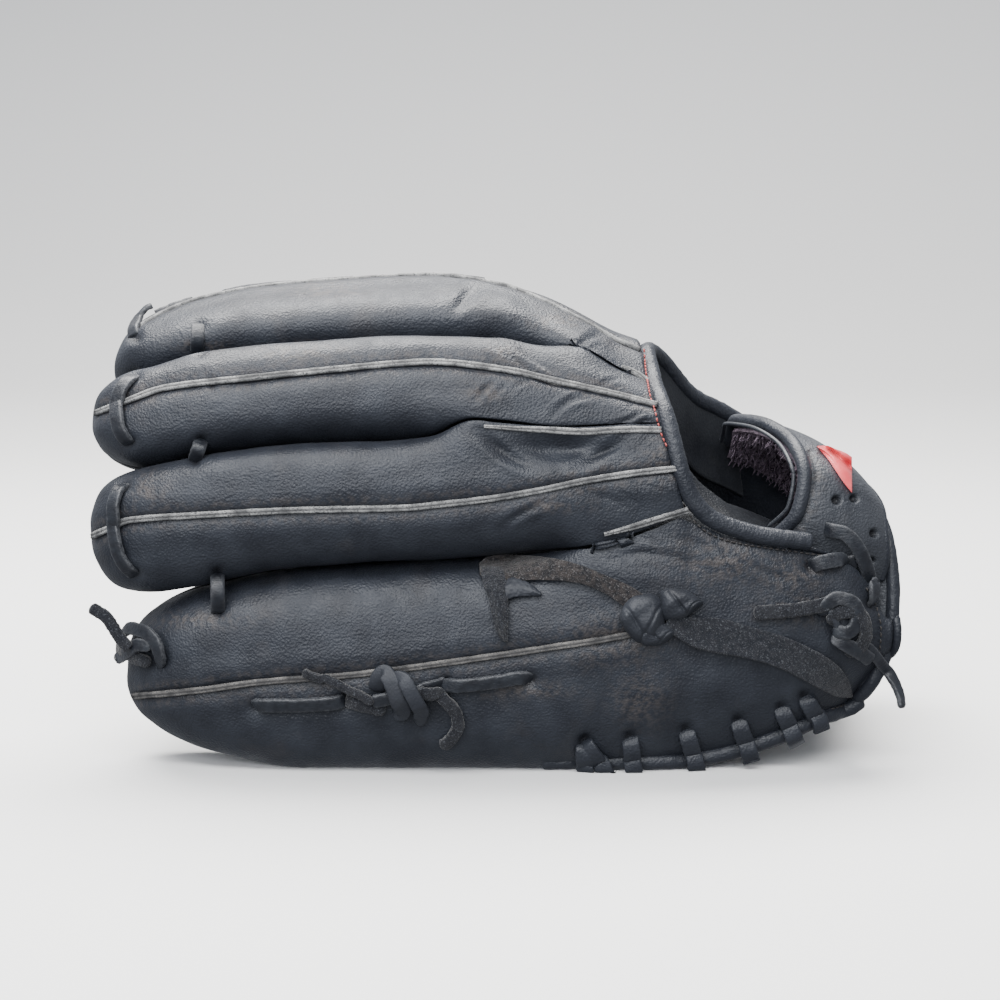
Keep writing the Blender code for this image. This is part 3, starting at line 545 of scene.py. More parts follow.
def roll(name, points, radius, paint, nodes=(), sides=20, rough=0.05):
    """A round rolled edge along a path, with small wrinkles across it."""
    bm = bmesh.new()
    rings = []
    side = Vector((0.0, 0.0, 1.0))
    count = len(points)
    for i, point in enumerate(points):
        along = (points[min(i + 1, count - 1)] - points[max(i - 1, 0)]).normalized()
        side = (side - along * side.dot(along)).normalized()
        up = along.cross(side)
        ring = []
        for j in range(sides):
            turn = 2.0 * math.pi * j / sides
            out = side * math.cos(turn) + up * math.sin(turn)
            wave = 1.0 + rough * noise.noise(Vector((i * 0.33, 2.0 * math.cos(turn), 2.0 * math.sin(turn))))
            close = math.sqrt(min(1.0, (min(i, count - 1 - i) + 0.2) / 2.0))
            ring.append(bm.verts.new(point + out * radius * wave * close))
        rings.append(ring)
    tube(bm, rings)
    bmesh.ops.recalc_face_normals(bm, faces=bm.faces)
    return add_piece(name, to_mesh(bm, name), paint, nodes)


# What stands in for the distance to a place behind which there is nothing, and what is less than that
MISSED = 9.0
WITHIN = 5.0


def form(name, upper, lower, lift, thickness, trees, paint, nodes=(), columns=16, rows=60,
         taut=4, rough=0.00012, seed=0.0):
    """A flat or domed piece of leather between two lines of the picture, laid over what is behind it.

    lift(u, v) is how many mm its top stands off there, u along it from 0 to 1 and v across it from -1 to 1.
    thickness(u, v) is in mm too. taut is how much it bridges the hollows below it.
    """
    ways = [[sight(mix(a[0], b[0], j / columns), mix(a[1], b[1], j / columns)) for j in range(columns + 1)]
            for a, b in zip(spline(upper, rows), spline(lower, rows))]
    depth = np.array([[(hit(trees, EYE, way) or (MISSED,))[0] for way in line] for line in ways])
    depth[depth > WITHIN] = np.median(depth[depth < WITHIN])
    for _ in range(taut):
        soft = depth.copy()
        soft[1:-1] = (depth[:-2] + depth[2:]) * 0.5
        soft[:, 1:-1] = 0.5 * soft[:, 1:-1] + 0.25 * (soft[:, :-2] + soft[:, 2:])
        depth = np.minimum(depth, soft)
    for _ in range(3):
        depth[1:-1] = (depth[:-2] + 2.0 * depth[1:-1] + depth[2:]) * 0.25
        depth[:, 1:-1] = (depth[:, :-2] + 2.0 * depth[:, 1:-1] + depth[:, 2:]) * 0.25
    bm = bmesh.new()
    raw = bm.verts.layers.float.new("edge")
    sides = ([], [])
    for i, line in enumerate(ways):
        u = i / rows
        for side in sides:
            side.append([])
        for j, way in enumerate(line):
            v = 2.0 * j / columns - 1.0
            base = EYE + way * float(depth[i][j])
            up = lift(u, v) + rough * 1000.0 * noise.noise(Vector((i * 0.35, j * 0.7, seed)))
            for side, height in zip(sides, (up, up - thickness(u, v))):
                vert = bm.verts.new(base - way * (height * MM))
                vert[raw] = max(abs(v), abs(2.0 * u - 1.0)) ** 6
                side[-1].append(vert)
    top, low = sides
    for i in range(rows):
        for j in range(columns):
            bm.faces.new((top[i][j], top[i + 1][j], top[i + 1][j + 1], top[i][j + 1]))
            bm.faces.new((low[i][j + 1], low[i + 1][j + 1], low[i + 1][j], low[i][j]))
    for i in range(rows):
        bm.faces.new((top[i + 1][0], top[i][0], low[i][0], low[i + 1][0]))
        bm.faces.new((top[i][columns], top[i + 1][columns], low[i + 1][columns], low[i][columns]))
    for j in range(columns):
        bm.faces.new((top[0][j], top[0][j + 1], low[0][j + 1], low[0][j]))
        bm.faces.new((top[rows][j + 1], top[rows][j], low[rows][j], low[rows][j + 1]))
    bmesh.ops.remove_doubles(bm, verts=bm.verts, dist=1e-6)
    bmesh.ops.recalc_face_normals(bm, faces=bm.faces)
    return add_piece(name, to_mesh(bm, name), paint, nodes)


STITCH_SIDES = 8
STITCH_RADIUS = 0.00034
STITCH_SHARE = 0.72
STITCH_LIFT = 0.0002
# A stitch from end to end: share of its length, share of its radius, and radii that it rises
STITCH_ARCH = ((0.0, 0.35, -0.5), (0.15, 0.85, 0.2), (0.5, 1.0, 0.5), (0.85, 0.85, 0.2), (1.0, 0.35, -0.5))


def stitches(name, runs, paint):
    """Short rounded threads. runs holds (start, end, outward) for each."""
    bm = bmesh.new()
    for start, end, out in runs:
        along = (end - start).normalized()
        side = along.cross(out).normalized()
        up = side.cross(along)
        rings = []
        for t, size, rise in STITCH_ARCH:
            middle = start.lerp(end, t) + up * (rise * STITCH_RADIUS)
            ring = []
            for j in range(STITCH_SIDES):
                turn = 2.0 * math.pi * j / STITCH_SIDES
                way = side * math.cos(turn) + up * math.sin(turn)
                ring.append(bm.verts.new(middle + way * STITCH_RADIUS * size))
            rings.append(ring)
        tube(bm, rings)
    bmesh.ops.recalc_face_normals(bm, faces=bm.faces)
    add_piece(name, to_mesh(bm, name), paint, ())


def stitch_runs(points, normals, pitch):
    """Places for stitches at a pitch along a path."""
    half = 0.5 * STITCH_SHARE * pitch
    runs, travelled, next_at = [], 0.0, 0.0
    for i in range(len(points) - 1):
        step = (points[i + 1] - points[i]).length
        while next_at < travelled + step and step > 0.0:
            t = (next_at - travelled) / step
            middle = points[i].lerp(points[i + 1], t) + normals[i] * STITCH_LIFT
            along = (points[i + 1] - points[i]).normalized()
            runs.append((middle - along * half, middle + along * half, normals[i]))
            next_at += pitch
        travelled += step
    return runs


# Materials

class Paint:
    """A procedural material, built up from nodes in the object's own metres."""

    def __init__(self, name):
        self.made = bpy.data.materials.new(name)
        self.made.use_nodes = True
        self.tree = self.made.node_tree
        self.shader = self.tree.nodes["Principled BSDF"]
        self.place = self.tree.nodes.new("ShaderNodeTexCoord").outputs["Object"]
        self.normal = None

    def put(self, socket, value):
        if isinstance(value, bpy.types.NodeSocket):
            self.tree.links.new(value, socket)
        else:
            socket.default_value = value

    def turned(self, scale, turn=(0.0, 0.0, 0.0)):
        node = self.tree.nodes.new("ShaderNodeMapping")
        self.put(node.inputs["Vector"], self.place)
        node.inputs["Scale"].default_value = scale
        node.inputs["Rotation"].default_value = turn
        return node.outputs["Vector"]

    def noise(self, scale, detail=3.0, place=None, distortion=0.0):
        node = self.tree.nodes.new("ShaderNodeTexNoise")
        self.put(node.inputs["Vector"], place or self.place)
        node.inputs["Scale"].default_value = scale
        node.inputs["Detail"].default_value = detail
        node.inputs["Distortion"].default_value = distortion
        return node.outputs["Fac"]

    def cells(self, scale, place=None, feature="SMOOTH_F1"):
        node = self.tree.nodes.new("ShaderNodeTexVoronoi")
        node.feature = feature
        self.put(node.inputs["Vector"], place or self.place)
        node.inputs["Scale"].default_value = scale
        return node.outputs["Distance"]

    def layer(self, name):
        node = self.tree.nodes.new("ShaderNodeAttribute")
        node.attribute_name = name
        return node.outputs["Fac"]

    def span(self, value, low, high, start=0.0, end=1.0):
        node = self.tree.nodes.new("ShaderNodeMapRange")
        self.put(node.inputs["Value"], value)
        for socket, number in zip(("From Min", "From Max", "To Min", "To Max"), (low, high, start, end)):
            node.inputs[socket].default_value = number
        return node.outputs["Result"]

    def calc(self, operation, a, b):
        node = self.tree.nodes.new("ShaderNodeMath")
        node.operation = operation
        self.put(node.inputs[0], a)
        self.put(node.inputs[1], b)
        return node.outputs[0]

    def blend(self, share, a, b):
        node = self.tree.nodes.new("ShaderNodeMix")
        node.data_type = "RGBA"
        self.put(node.inputs["Factor"], share)
        for socket, value in ((node.inputs[6], a), (node.inputs[7], b)):
            self.put(socket, value if isinstance(value, bpy.types.NodeSocket) else (*value, 1.0))
        return node.outputs[2]

    def bump(self, height, distance, strength=1.0):
        node = self.tree.nodes.new("ShaderNodeBump")
        self.put(node.inputs["Height"], height)
        self.put(node.inputs["Strength"], strength)
        node.inputs["Distance"].default_value = distance
        if self.normal is not None:
            self.tree.links.new(self.normal, node.inputs["Normal"])
        self.normal = node.outputs["Normal"]

    def finish(self, colour, roughness, specular=0.5, sheen=0.0, sheen_tint=(1.0, 1.0, 1.0), coat=0.0):
        self.put(self.shader.inputs["Base Color"], colour)
        self.put(self.shader.inputs["Roughness"], roughness)
        self.shader.inputs["Specular IOR Level"].default_value = specular
        self.shader.inputs["Sheen Weight"].default_value = sheen
        self.shader.inputs["Sheen Roughness"].default_value = 0.5
        self.shader.inputs["Sheen Tint"].default_value = (*sheen_tint, 1.0)
        self.shader.inputs["Coat Weight"].default_value = coat
        self.shader.inputs["Coat Roughness"].default_value = 0.35
        if self.normal is not None:
            self.tree.links.new(self.normal, self.shader.inputs["Normal"])
        return self.made


def leather(name, dark, light, worn, rough=(0.36, 0.58), grain=0.00022, wear=1.0, fold=0.00030):
    """Grained leather: pebbles with painted shade in the hollows between them, fine folds where a mesh layer named
    folds asks for them, worn patches, and painted shade where a mesh layer named dark asks for it.
    """
    paint = Paint(name)
    pebble = paint.cells(1250.0)
    pores = paint.noise(2600.0, 2.0)
    grain_height = paint.calc("ADD", paint.span(pebble, 0.0, 0.75), paint.calc("MULTIPLY", pores, 0.35))
    creases = paint.cells(1.0, paint.turned((330.0, 450.0, 900.0), (0.0, 0.9, 0.0)), "F1")
    fans = paint.noise(1.0, 5.0, paint.turned((1100.0, 420.0, 230.0), (0.0, 0.55, 0.0)), 0.6)
    patches = paint.noise(34.0, 4.0)
    folded = paint.calc("MAXIMUM", paint.layer("folds"), paint.span(patches, 0.52, 0.70, 0.0, 0.45))
    paint.bump(fans, fold, folded)
    paint.bump(creases, fold * 0.6, folded)
    paint.bump(grain_height, grain, 0.75)
    mottled = paint.blend(paint.span(paint.noise(85.0, 5.0), 0.35, 0.70), dark, light)
    # Painted shade in the grain: pebble tops lighter, the hollows between them darker
    painted_pebble_light = paint.calc("MULTIPLY", paint.span(pebble, 0.10, 0.55, 1.0, 0.0), 0.35)
    mottled = paint.blend(painted_pebble_light, mottled, light)
    rub = paint.calc("MULTIPLY", paint.layer("wear"), paint.span(paint.noise(420.0, 6.0), 0.42, 0.62))
    rub = paint.calc("ADD", rub, paint.span(paint.noise(52.0, 6.0), 0.60, 0.80, 0.0, 0.35 * wear))
    colour = paint.blend(paint.calc("MULTIPLY", rub, 0.55), mottled, worn)
    # Painted shade: the mesh layer named dark darkens creases, welt grooves and holes toward near black
    colour = paint.blend(paint.calc("MULTIPLY", paint.layer("dark"), 0.75), colour, (0.006, 0.006, 0.008))
    shine = paint.span(paint.noise(120.0, 4.0), 0.30, 0.75, rough[0], rough[1])
    return paint.finish(colour, shine, 0.36, 0.02, (0.80, 0.86, 1.0))


def lace_leather(name, dark, light, rough):
    """Rawhide lace: smooth with fine cracks along it, and paler raw edges."""
    paint = Paint(name)
    cracks = paint.noise(1.0, 5.0, paint.turned((420.0, 900.0, 900.0)), 0.4)
    paint.bump(cracks, 0.00035, 0.7)
    paint.bump(paint.noise(1900.0, 2.0), 0.00012, 0.6)
    mottled = paint.blend(paint.span(paint.noise(260.0, 5.0), 0.38, 0.68), dark, light)
    edges = paint.calc("MULTIPLY", paint.layer("edge"), paint.span(paint.noise(900.0, 3.0), 0.35, 0.65, 0.2, 0.8))
    colour = paint.blend(edges, mottled, (0.110, 0.112, 0.118))
    return paint.finish(colour, paint.span(cracks, 0.3, 0.7, rough, rough + 0.22), 0.5, 0.05, (0.8, 0.86, 1.0))


def suede(name, dark, light, brown, share=0.5):
    """The raw flesh side of leather: matted short fibres, speckled pale and dark."""
    paint = Paint(name)
    fibres = paint.noise(1900.0, 6.0, None, 0.8)
    clumps = paint.noise(420.0, 4.0)
    paint.bump(clumps, 0.0009, 0.7)
    paint.bump(fibres, 0.0005, 0.9)
    speck = paint.span(fibres, 0.55, 0.68)
    base = paint.blend(paint.span(clumps, 0.40, 0.62), dark, brown)
    colour = paint.blend(paint.calc("MULTIPLY", speck, share), base, light)
    return paint.finish(colour, 0.93, 0.25, 0.30, (0.80, 0.78, 0.76))


def welt_paint(name, pale, grey):
    """Worn light leather strip, with fibres rubbed up, and dark where its seam runs."""
    paint = Paint(name)
    fibres = paint.noise(1500.0, 5.0, None, 0.5)
    rubbed = paint.noise(170.0, 5.0)
    paint.bump(fibres, 0.0004, 0.8)
    colour = paint.blend(paint.span(rubbed, 0.36, 0.64), grey, pale)
    colour = paint.blend(paint.span(fibres, 0.48, 0.36), colour, (0.070, 0.070, 0.072))
    colour = paint.blend(paint.calc("MULTIPLY", paint.layer("edge"), 0.85), colour, (0.030, 0.029, 0.030))
    return paint.finish(colour, 0.80, 0.35)


def thread(name, colour, pale):
    paint = Paint(name)
    twist = paint.noise(3400.0, 2.0)
    paint.bump(twist, 0.0002, 0.7)
    return paint.finish(paint.blend(paint.span(twist, 0.4, 0.65), colour, pale), 0.62, 0.35)


def fleece_paint(name):
    paint = Paint(name)
    fibres = paint.noise(1300.0, 5.0, None, 0.9)
    clumps = paint.noise(330.0, 4.0)
    paint.bump(clumps, 0.0012, 0.8)
    paint.bump(fibres, 0.0006, 0.9)
    colour = paint.blend(paint.span(clumps, 0.40, 0.65), (0.040, 0.028, 0.044), (0.240, 0.185, 0.235))
    colour = paint.blend(paint.calc("MULTIPLY", paint.span(fibres, 0.56, 0.70), 0.7), colour, (0.44, 0.36, 0.42))
    return paint.finish(colour, 0.95, 0.15, 0.6, (0.62, 0.50, 0.58))


def red_paint(name):
    paint = Paint(name)
    paint.bump(paint.noise(60.0, 3.0), 0.0012, 0.5)
    paint.bump(paint.noise(1500.0, 2.0), 0.00008, 0.5)
    colour = paint.blend(paint.span(paint.noise(130.0, 4.0), 0.35, 0.70), (0.62, 0.035, 0.050), (0.80, 0.115, 0.120))
    return paint.finish(colour, 0.34, 0.5, 0.15, (1.0, 0.75, 0.72), 0.25)


BACK = leather("charcoal_leather", (0.016, 0.018, 0.024), (0.030, 0.034, 0.043), (0.095, 0.080, 0.070),
               (0.34, 0.56), 0.00027, 1.0, 0.00022)
STRAP = leather("strap_leather", (0.030, 0.033, 0.040), (0.055, 0.059, 0.068), (0.120, 0.106, 0.095),
                (0.42, 0.62), 0.00030, 0.8, 0.00050)
PALM = leather("palm_leather", (0.008, 0.009, 0.012), (0.018, 0.020, 0.024), (0.050, 0.044, 0.038),
               (0.40, 0.62), 0.00018, 0.8)
BINDING = leather("binding_leather", (0.015, 0.017, 0.023), (0.028, 0.031, 0.039), (0.080, 0.070, 0.062),
                  (0.36, 0.52), 0.00022, 0.5, 0.00040)
LACE = lace_leather("lace_leather", (0.006, 0.007, 0.011), (0.015, 0.018, 0.024), 0.32)
LACE_RAW = suede("lace_raw_side", (0.009, 0.010, 0.014), (0.180, 0.192, 0.212), (0.018, 0.019, 0.023), 0.38)
SUEDE = suede("suede_tie", (0.010, 0.010, 0.012), (0.250, 0.240, 0.235), (0.036, 0.030, 0.028), 0.44)
SUEDE_GREY = suede("suede_tie_grey", (0.011, 0.013, 0.018), (0.210, 0.220, 0.235), (0.020, 0.021, 0.026), 0.42)
KNOT_LEATHER = leather("knot_leather", (0.018, 0.020, 0.026), (0.034, 0.037, 0.045), (0.080, 0.070, 0.064),
                       (0.42, 0.60), 0.00010, 0.5, 0.00020)
WELT = welt_paint("welt_leather", (0.360, 0.358, 0.348), (0.110, 0.110, 0.110))
WELT_DARK = welt_paint("welt_leather_dark", (0.190, 0.180, 0.168), (0.050, 0.048, 0.047))
THREAD_RED = thread("red_thread", (0.330, 0.045, 0.040), (0.560, 0.150, 0.130))
THREAD_DARK = thread("dark_thread", (0.020, 0.018, 0.018), (0.075, 0.068, 0.064))
FLEECE_PAINT = fleece_paint("fleece")
RED = red_paint("red_leather")
PIPING = lace_leather("piping", (0.014, 0.016, 0.021), (0.030, 0.033, 0.040), 0.34)


# What is on the side that the camera sees, in places of the picture

WELT_LINES = {
    MIDDLE: ((96, 413), (112, 407), (130, 400), (165, 388), (250, 378), (350, 368), (400, 363.5), (430, 362),
             (500, 369), (560, 382), (610, 393), (657, 405)),
    RING: ((93, 536), (110, 528), (130, 520), (200, 515), (300, 510), (400, 508), (443, 504), (491, 498.5),
           (541, 490), (584, 481), (628, 474), (680, 468)),
    LITTLE: ((134, 696), (160, 694), (200, 690), (260, 682), (350, 675), (400, 669), (430, 665), (500, 655),
             (560, 646), (600, 640), (632, 634)),
}
# The index finger's and the thumb's welts, as shares of LENGTH with the place across the finger
FAR_WELTS = {
    INDEX: ((0.045, 0.20), (0.085, 0.33), (0.16, 0.45), (0.24, 0.52), (0.42, 0.50), (0.50, 0.40), (0.58, 0.20),
            (0.680, 0.05)),
    THUMB: ((0.152, 0.0), (0.20, 0.0), (0.30, 0.0), (0.45, 0.0), (0.60, 0.05), (0.69, 0.10)),
}
# Where two panels meet in the hand: the pale welt in the seam
SEAM_WELTS = (
    ("seam_welt_index", "gap_welt_index", ((621, 367.5), (629, 370.5), (636, 374), (650, 383.5))),
    ("seam_welt_middle", "gap_welt_middle", ((484, 426.5), (510, 428.5), (552, 430), (584, 432), (628, 429.5),
                                             (661, 430.5))),
    ("seam_welt_ring", "gap_welt_ring", ((604, 534), (633, 526.5), (660, 518), (688, 509.5))),
)
# Creases: the panel, how wide and deep in thousandths of the picture and mm, and their line
Crease = namedtuple("Crease", "panel width depth line")
CREASES = (
    Crease(MIDDLE, 3.6, 1.1, ((495, 338), (521, 362), (552, 381), (573, 384))),
    Crease(MIDDLE, 2.4, 0.6, ((482, 338), (500, 352), (516, 369))),
    Crease(MIDDLE, 2.2, 0.6, ((520, 350), (545, 366), (566, 380))),
    Crease(MIDDLE, 2.6, 0.7, ((476, 401), (485, 390), (494, 384))),
    Crease(MIDDLE, 2.0, 0.5, ((492, 398), (502, 388), (512, 382))),
    Crease(MIDDLE, 2.0, 0.5, ((508, 393), (518, 385), (530, 380))),
    Crease(MIDDLE, 2.6, 0.8, ((552, 418), (562, 406), (573, 399), (588, 394))),
    Crease(MIDDLE, 1.8, 0.4, ((566, 409), (576, 402), (594, 398))),
    Crease(MIDDLE, 2.0, 0.6, ((616, 424), (628, 420), (641, 413))),
    Crease(MIDDLE, 1.8, 0.5, ((632, 425), (645, 421), (658, 420))),
    Crease(MIDDLE, 1.8, 0.4, ((596, 388), (612, 380), (622, 379))),
    Crease(MIDDLE, 2.6, 0.6, ((205, 372), (212, 385), (214, 395))),
    Crease(RING, 4.2, 1.5, ((478, 432), (497, 447), (519, 462), (540, 469))),
    Crease(RING, 4.2, 1.3, ((578, 468), (592, 459), (610, 447), (628, 435))),
    Crease(RING, 2.0, 0.5, ((600, 455), (612, 449), (622, 444))),
    Crease(RING, 2.0, 0.5, ((484, 444), (498, 457), (512, 465))),
    Crease(RING, 3.2, 0.8, ((502, 527), (512, 519), (526, 511), (545, 502))),
    Crease(RING, 2.0, 0.6, ((588, 490), (598, 495), (610, 502))),
    Crease(RING, 2.0, 0.6, ((602, 489), (612, 497), (624, 507))),
    Crease(RING, 2.0, 0.5, ((616, 488), (626, 496), (636, 503))),
    Crease(RING, 1.8, 0.4, ((640, 483), (655, 487), (672, 492))),
    Crease(RING, 1.8, 0.4, ((650, 479), (664, 482), (680, 489))),
    Crease(INDEX, 3.4, 0.9, ((456, 311), (461, 301), (470, 292), (482, 290))),
    Crease(INDEX, 2.2, 0.5, ((466, 309), (472, 300), (480, 296))),
    Crease(INDEX, 3.0, 0.8, ((572, 350), (580, 344), (590, 338), (602, 335))),
    Crease(INDEX, 2.0, 0.5, ((582, 352), (592, 346), (604, 342))),
    Crease(LITTLE, 3.2, 0.7, ((612, 560), (640, 553), (668, 556), (692, 566))),
    Crease(LITTLE, 2.2, 0.5, ((640, 534), (662, 548), (678, 566))),
    Crease(LITTLE, 2.0, 0.4, ((700, 538), (712, 555), (722, 572))),
    Crease(LITTLE, 2.0, 0.4, ((712, 536), (724, 551), (733, 566))),
    Crease(LITTLE, 2.0, 0.4, ((640, 690), (634, 706), (622, 722), (606, 738))),
    Crease(LITTLE, 2.0, 0.3, ((700, 668), (712, 684), (726, 696))),
    Crease(LITTLE, 2.0, 0.3, ((680, 672), (690, 690), (698, 706))),
    Crease(LITTLE, 3.0, 0.6, ((742, 560), (770, 574), (800, 584))),
)
# Hollows and swellings: the panel, middle right and down, half-sizes, turn in degrees, and depth in mm
Dent = namedtuple("Dent", "panel x y wide tall turn depth")
DENTS = (
    Dent(RING, 568, 448, 64, 16, 0, 4.8), Dent(RING, 560, 482, 70, 12, -8, -0.8),
    Dent(MIDDLE, 536, 358, 40, 10, 32, 1.9), Dent(MIDDLE, 500, 400, 50, 12, 0, -0.6),
    Dent(INDEX, 463, 301, 16, 9, -40, 1.5), Dent(INDEX, 500, 315, 30, 9, 10, -0.6),
    Dent(INDEX, 585, 346, 20, 6, 10, 0.9), Dent(RING, 612, 500, 34, 9, 14, 0.7),
    Dent(LITTLE, 640, 575, 60, 14, 8, -1.2), Dent(LITTLE, 735, 560, 60, 22, 10, -1.4),
    Dent(LITTLE, 700, 545, 34, 6, 20, 0.7), Dent(LITTLE, 660, 690, 60, 30, 0, -0.8),
    Dent(LITTLE, 606, 700, 14, 40, 20, 0.6), Dent(LITTLE, 300, 712, 60, 8, 0, 0.5),
    Dent(RING, 250, 490, 60, 14, 0, 0.5), Dent(MIDDLE, 230, 395, 30, 12, 0, 0.5),
)
# Where fine folds show: middle right and down, half-sizes
FOLDS = ((640, 555, 60, 26), (715, 560, 40, 34), (650, 490, 40, 22), (610, 500, 50, 16), (620, 445, 36, 14),
         (500, 390, 40, 14), (470, 300, 26, 14), (200, 372, 40, 16), (220, 478, 50, 20), (320, 290, 60, 10),
         (190, 410, 30, 14), (590, 345, 30, 10), (800, 590, 60, 40), (420, 590, 60, 16), (640, 415, 26, 14),
         (560, 395, 30, 14), (240, 590, 60, 14), (690, 700, 60, 40), (215, 560, 26, 14), (450, 460, 40, 20))
# Where the leather is rubbed brown
WORN = ((300, 352, 50, 12), (500, 350, 22, 12), (485, 392, 20, 12), (560, 320, 40, 10), (660, 460, 20, 26),
        (720, 560, 60, 30), (790, 575, 40, 20), (820, 500, 16, 30), (610, 640, 60, 30), (640, 700, 30, 30),
        (200, 620, 60, 10), (330, 700, 90, 6), (520, 690, 60, 10), (330, 290, 40, 10), (560, 505, 40, 8),
        (800, 610, 50, 16), (640, 345, 20, 10), (150, 490, 20, 20), (200, 345, 30, 8))

# Laces: name, the CAD nodes it stands for, width and thickness in mm, material, which ends go into a hole,
# and places as right, down and mm held off the leather
Lace = namedtuple("Lace", "name nodes width thick paint sinks places")
LACES = (
    Lace("tip_lace_index", ("tip_lace_index",), 5.2, 2.0, LACE, (1, 1),
         ((152, 306, 0.2), (148, 312, 1.6), (141, 322, 2.0), (136, 331, 1.6), (134, 336, 0.0))),
    Lace("tip_lace_middle", ("tip_lace_middle",), 5.4, 2.2, LACE, (1, 1),
         ((134, 376, -0.4), (129, 383, 1.5), (122, 396, 2.3), (120, 410, 2.4), (121.5, 426, 2.2), (126, 437, 1.3),
          (129, 443, -0.6))),
    Lace("tip_lace_ring", ("tip_lace_ring",), 5.4, 2.2, LACE, (1, 1),
         ((124, 485, -0.4), (120, 493, 1.5), (117, 510, 2.3), (118, 530, 2.4), (121, 550, 2.2), (128, 566, 1.3),
          (134, 575, -0.6))),
    Lace("side_lace_front", ("side_lace_front",), 5.4, 2.2, LACE, (1, 1),
         ((255, 706, -1.0), (259, 703.6, 1.2), (275, 703.4, 1.7), (300, 703, 1.8), (330, 701.6, 1.7),
          (341, 700.6, 1.0), (346, 699.5, -1.0))),
    Lace("side_lace_middle", (), 5.0, 2.0, LACE_RAW, (1, 0),
         ((345, 699, -0.6), (352, 701, 1.4), (366, 704, 1.9), (386, 708, 2.4))),
    Lace("side_lace_rear", ("side_lace_rear",), 5.2, 2.2, LACE, (1, 1),
         ((440, 687, -0.5), (446, 685.6, 1.5), (470, 683, 1.9), (500, 679.4, 1.9), (519, 676.6, 1.5),
          (527, 677.6, 0.2), (531, 680.4, -1.2))),
    Lace("side_lace_under", (), 4.6, 1.8, LACE, (0, 1),
         ((414, 692, 2.6), (424, 687, 1.6), (436, 683, 1.3), (446, 680.6, 0.4))),
    Lace("side_tail_short", ("side_tail_short",), 3.2, 2.4, LACE_RAW, (0, 0),
         ((303, 669.5, 2.0), (316, 674.5, 2.1), (337, 683.5, 2.0), (356, 691, 2.2), (374, 699, 3.4))),
    Lace("side_tail_curl", ("side_tail_curl",), 4.6, 2.4, LACE_RAW, (0, 0),
         ((417, 688, 4.0), (427, 689.5, 4.4), (439, 694, 3.8), (450, 702.5, 3.0), (457, 713, 2.5), (458, 724, 2.2),
          (453, 734, 1.9), (446, 741, 1.8), (441, 744, 1.7))),
    Lace("wrist_lace", ("wrist_lace",), 5.6, 2.2, LACE, (1, 0),
         ((811, 566, -1.0), (815, 564, 1.2), (826, 562, 2.0), (840, 560.6, 2.4), (856, 558, 2.6))),
    Lace("wrist_lace_over", (), 5.4, 2.2, LACE, (1, 1),
         ((826, 529, -1.0), (831, 529.5, 1.8), (840, 531, 3.2), (849, 538, 4.2), (857, 550, 4.8), (863, 566, 4.4),
          (868, 584, 3.0), (871, 598, 1.4), (872, 604, -0.6))),
    Lace("wrist_tail", ("wrist_tail",), 5.2, 2.6, LACE_RAW, (0, 0),
         ((753, 612.5, 1.7), (770, 611.6, 1.9), (788, 610.2, 2.1), (806, 607.4, 2.6), (822, 603.4, 3.6),
          (838, 600, 5.0))),
    Lace("wrist_tail_low", ("wrist_tail_low",), 4.2, 2.2, LACE, (0, 0),
         ((860, 642, 3.4), (868, 649, 3.0), (877, 659, 2.6), (886, 670, 2.4), (893, 683, 2.4), (896.5, 695, 2.6),
          (897, 703, 2.8))),
)
# Knots are turns of the same lace that cross each other
TURNS = (
    Lace("side_knot_first", ("side_knot",), 6.2, 2.4, KNOT_LEATHER, (0, 0),
         ((377, 690, 0.4), (379, 680, 3.0), (385, 674.5, 4.6), (392, 681, 5.8), (398, 694, 6.2), (403, 705, 4.8),
          (401, 711, 2.2), (394, 710, 0.6))),
    Lace("side_knot_second", (), 5.6, 2.4, KNOT_LEATHER, (0, 0),
         ((393, 686, 2.0), (396, 678, 4.8), (402, 677, 6.4), (410, 686, 7.6), (417, 698, 7.2), (421, 708, 5.0),
          (420, 716, 2.6), (415, 718, 1.0))),
    Lace("side_knot_third", (), 5.0, 2.2, LACE, (0, 0),
         ((372, 699, 2.6), (384, 696, 3.2), (398, 692, 3.6), (414, 690, 3.6), (424, 690, 3.2))),
    Lace("wrist_knot_loop", ("wrist_knot",), 5.2, 2.4, LACE, (0, 0),
         ((819, 614, 1.6), (822, 604, 4.2), (831, 598, 5.8), (842, 601, 6.8), (849, 611, 7.0), (848, 622, 6.4),
          (840, 630, 5.0), (830, 630, 2.4))),
    Lace("wrist_knot_cross", (), 5.0, 2.4, LACE_RAW, (0, 0),
         ((826, 622, 2.2), (834, 612, 5.0), (845, 610, 7.0), (855, 620, 7.0), (857, 633, 6.2), (851, 645, 4.4),
          (842, 650, 2.0))),
    Lace("wrist_knot_under", (), 5.4, 2.4, LACE, (0, 0),
         ((830, 634, 2.2), (838, 640, 4.6), (848, 645, 5.0), (858, 651, 4.0), (866, 657, 3.0))),
    Lace("tip_knot_loop", ("tip_knot",), 5.0, 2.3, LACE, (0, 1),
         ((122, 650, 1.6), (131, 640, 3.8), (143, 633, 5.4), (156, 635, 5.6), (164, 644, 4.6), (165, 655, 2.8),
          (159, 663, 0.2))),
    Lace("tip_knot_cross", (), 4.8, 2.2, LACE, (0, 0),
         ((118, 660, 1.2), (129, 657, 3.4), (141, 651, 5.2), (151, 645, 6.0), (160, 646, 4.6))),
    Lace("tip_knot_under", (), 4.8, 2.2, LACE_RAW, (0, 0),
         ((126, 646, 3.4), (134, 650, 4.4), (144, 657, 4.2), (154, 660, 2.4))),
)
# Laces that tie one finger to the next, from one finger's face to the other's
LINKS = (("link_lace_middle", ((198.5, 325.5), (197, 350.5))), ("link_lace_ring", ((201, 441), (195, 459.5))),
         ("link_lace_little", ((217.3, 574.5), (218, 611))))
# The holes punched in the strap: middle right and down, and radius
HOLES = ((837.3, 499.7, 4.4), (874.3, 533.4, 3.9), (871.8, 560.9, 2.9), (855.0, 498.0, 3.8))
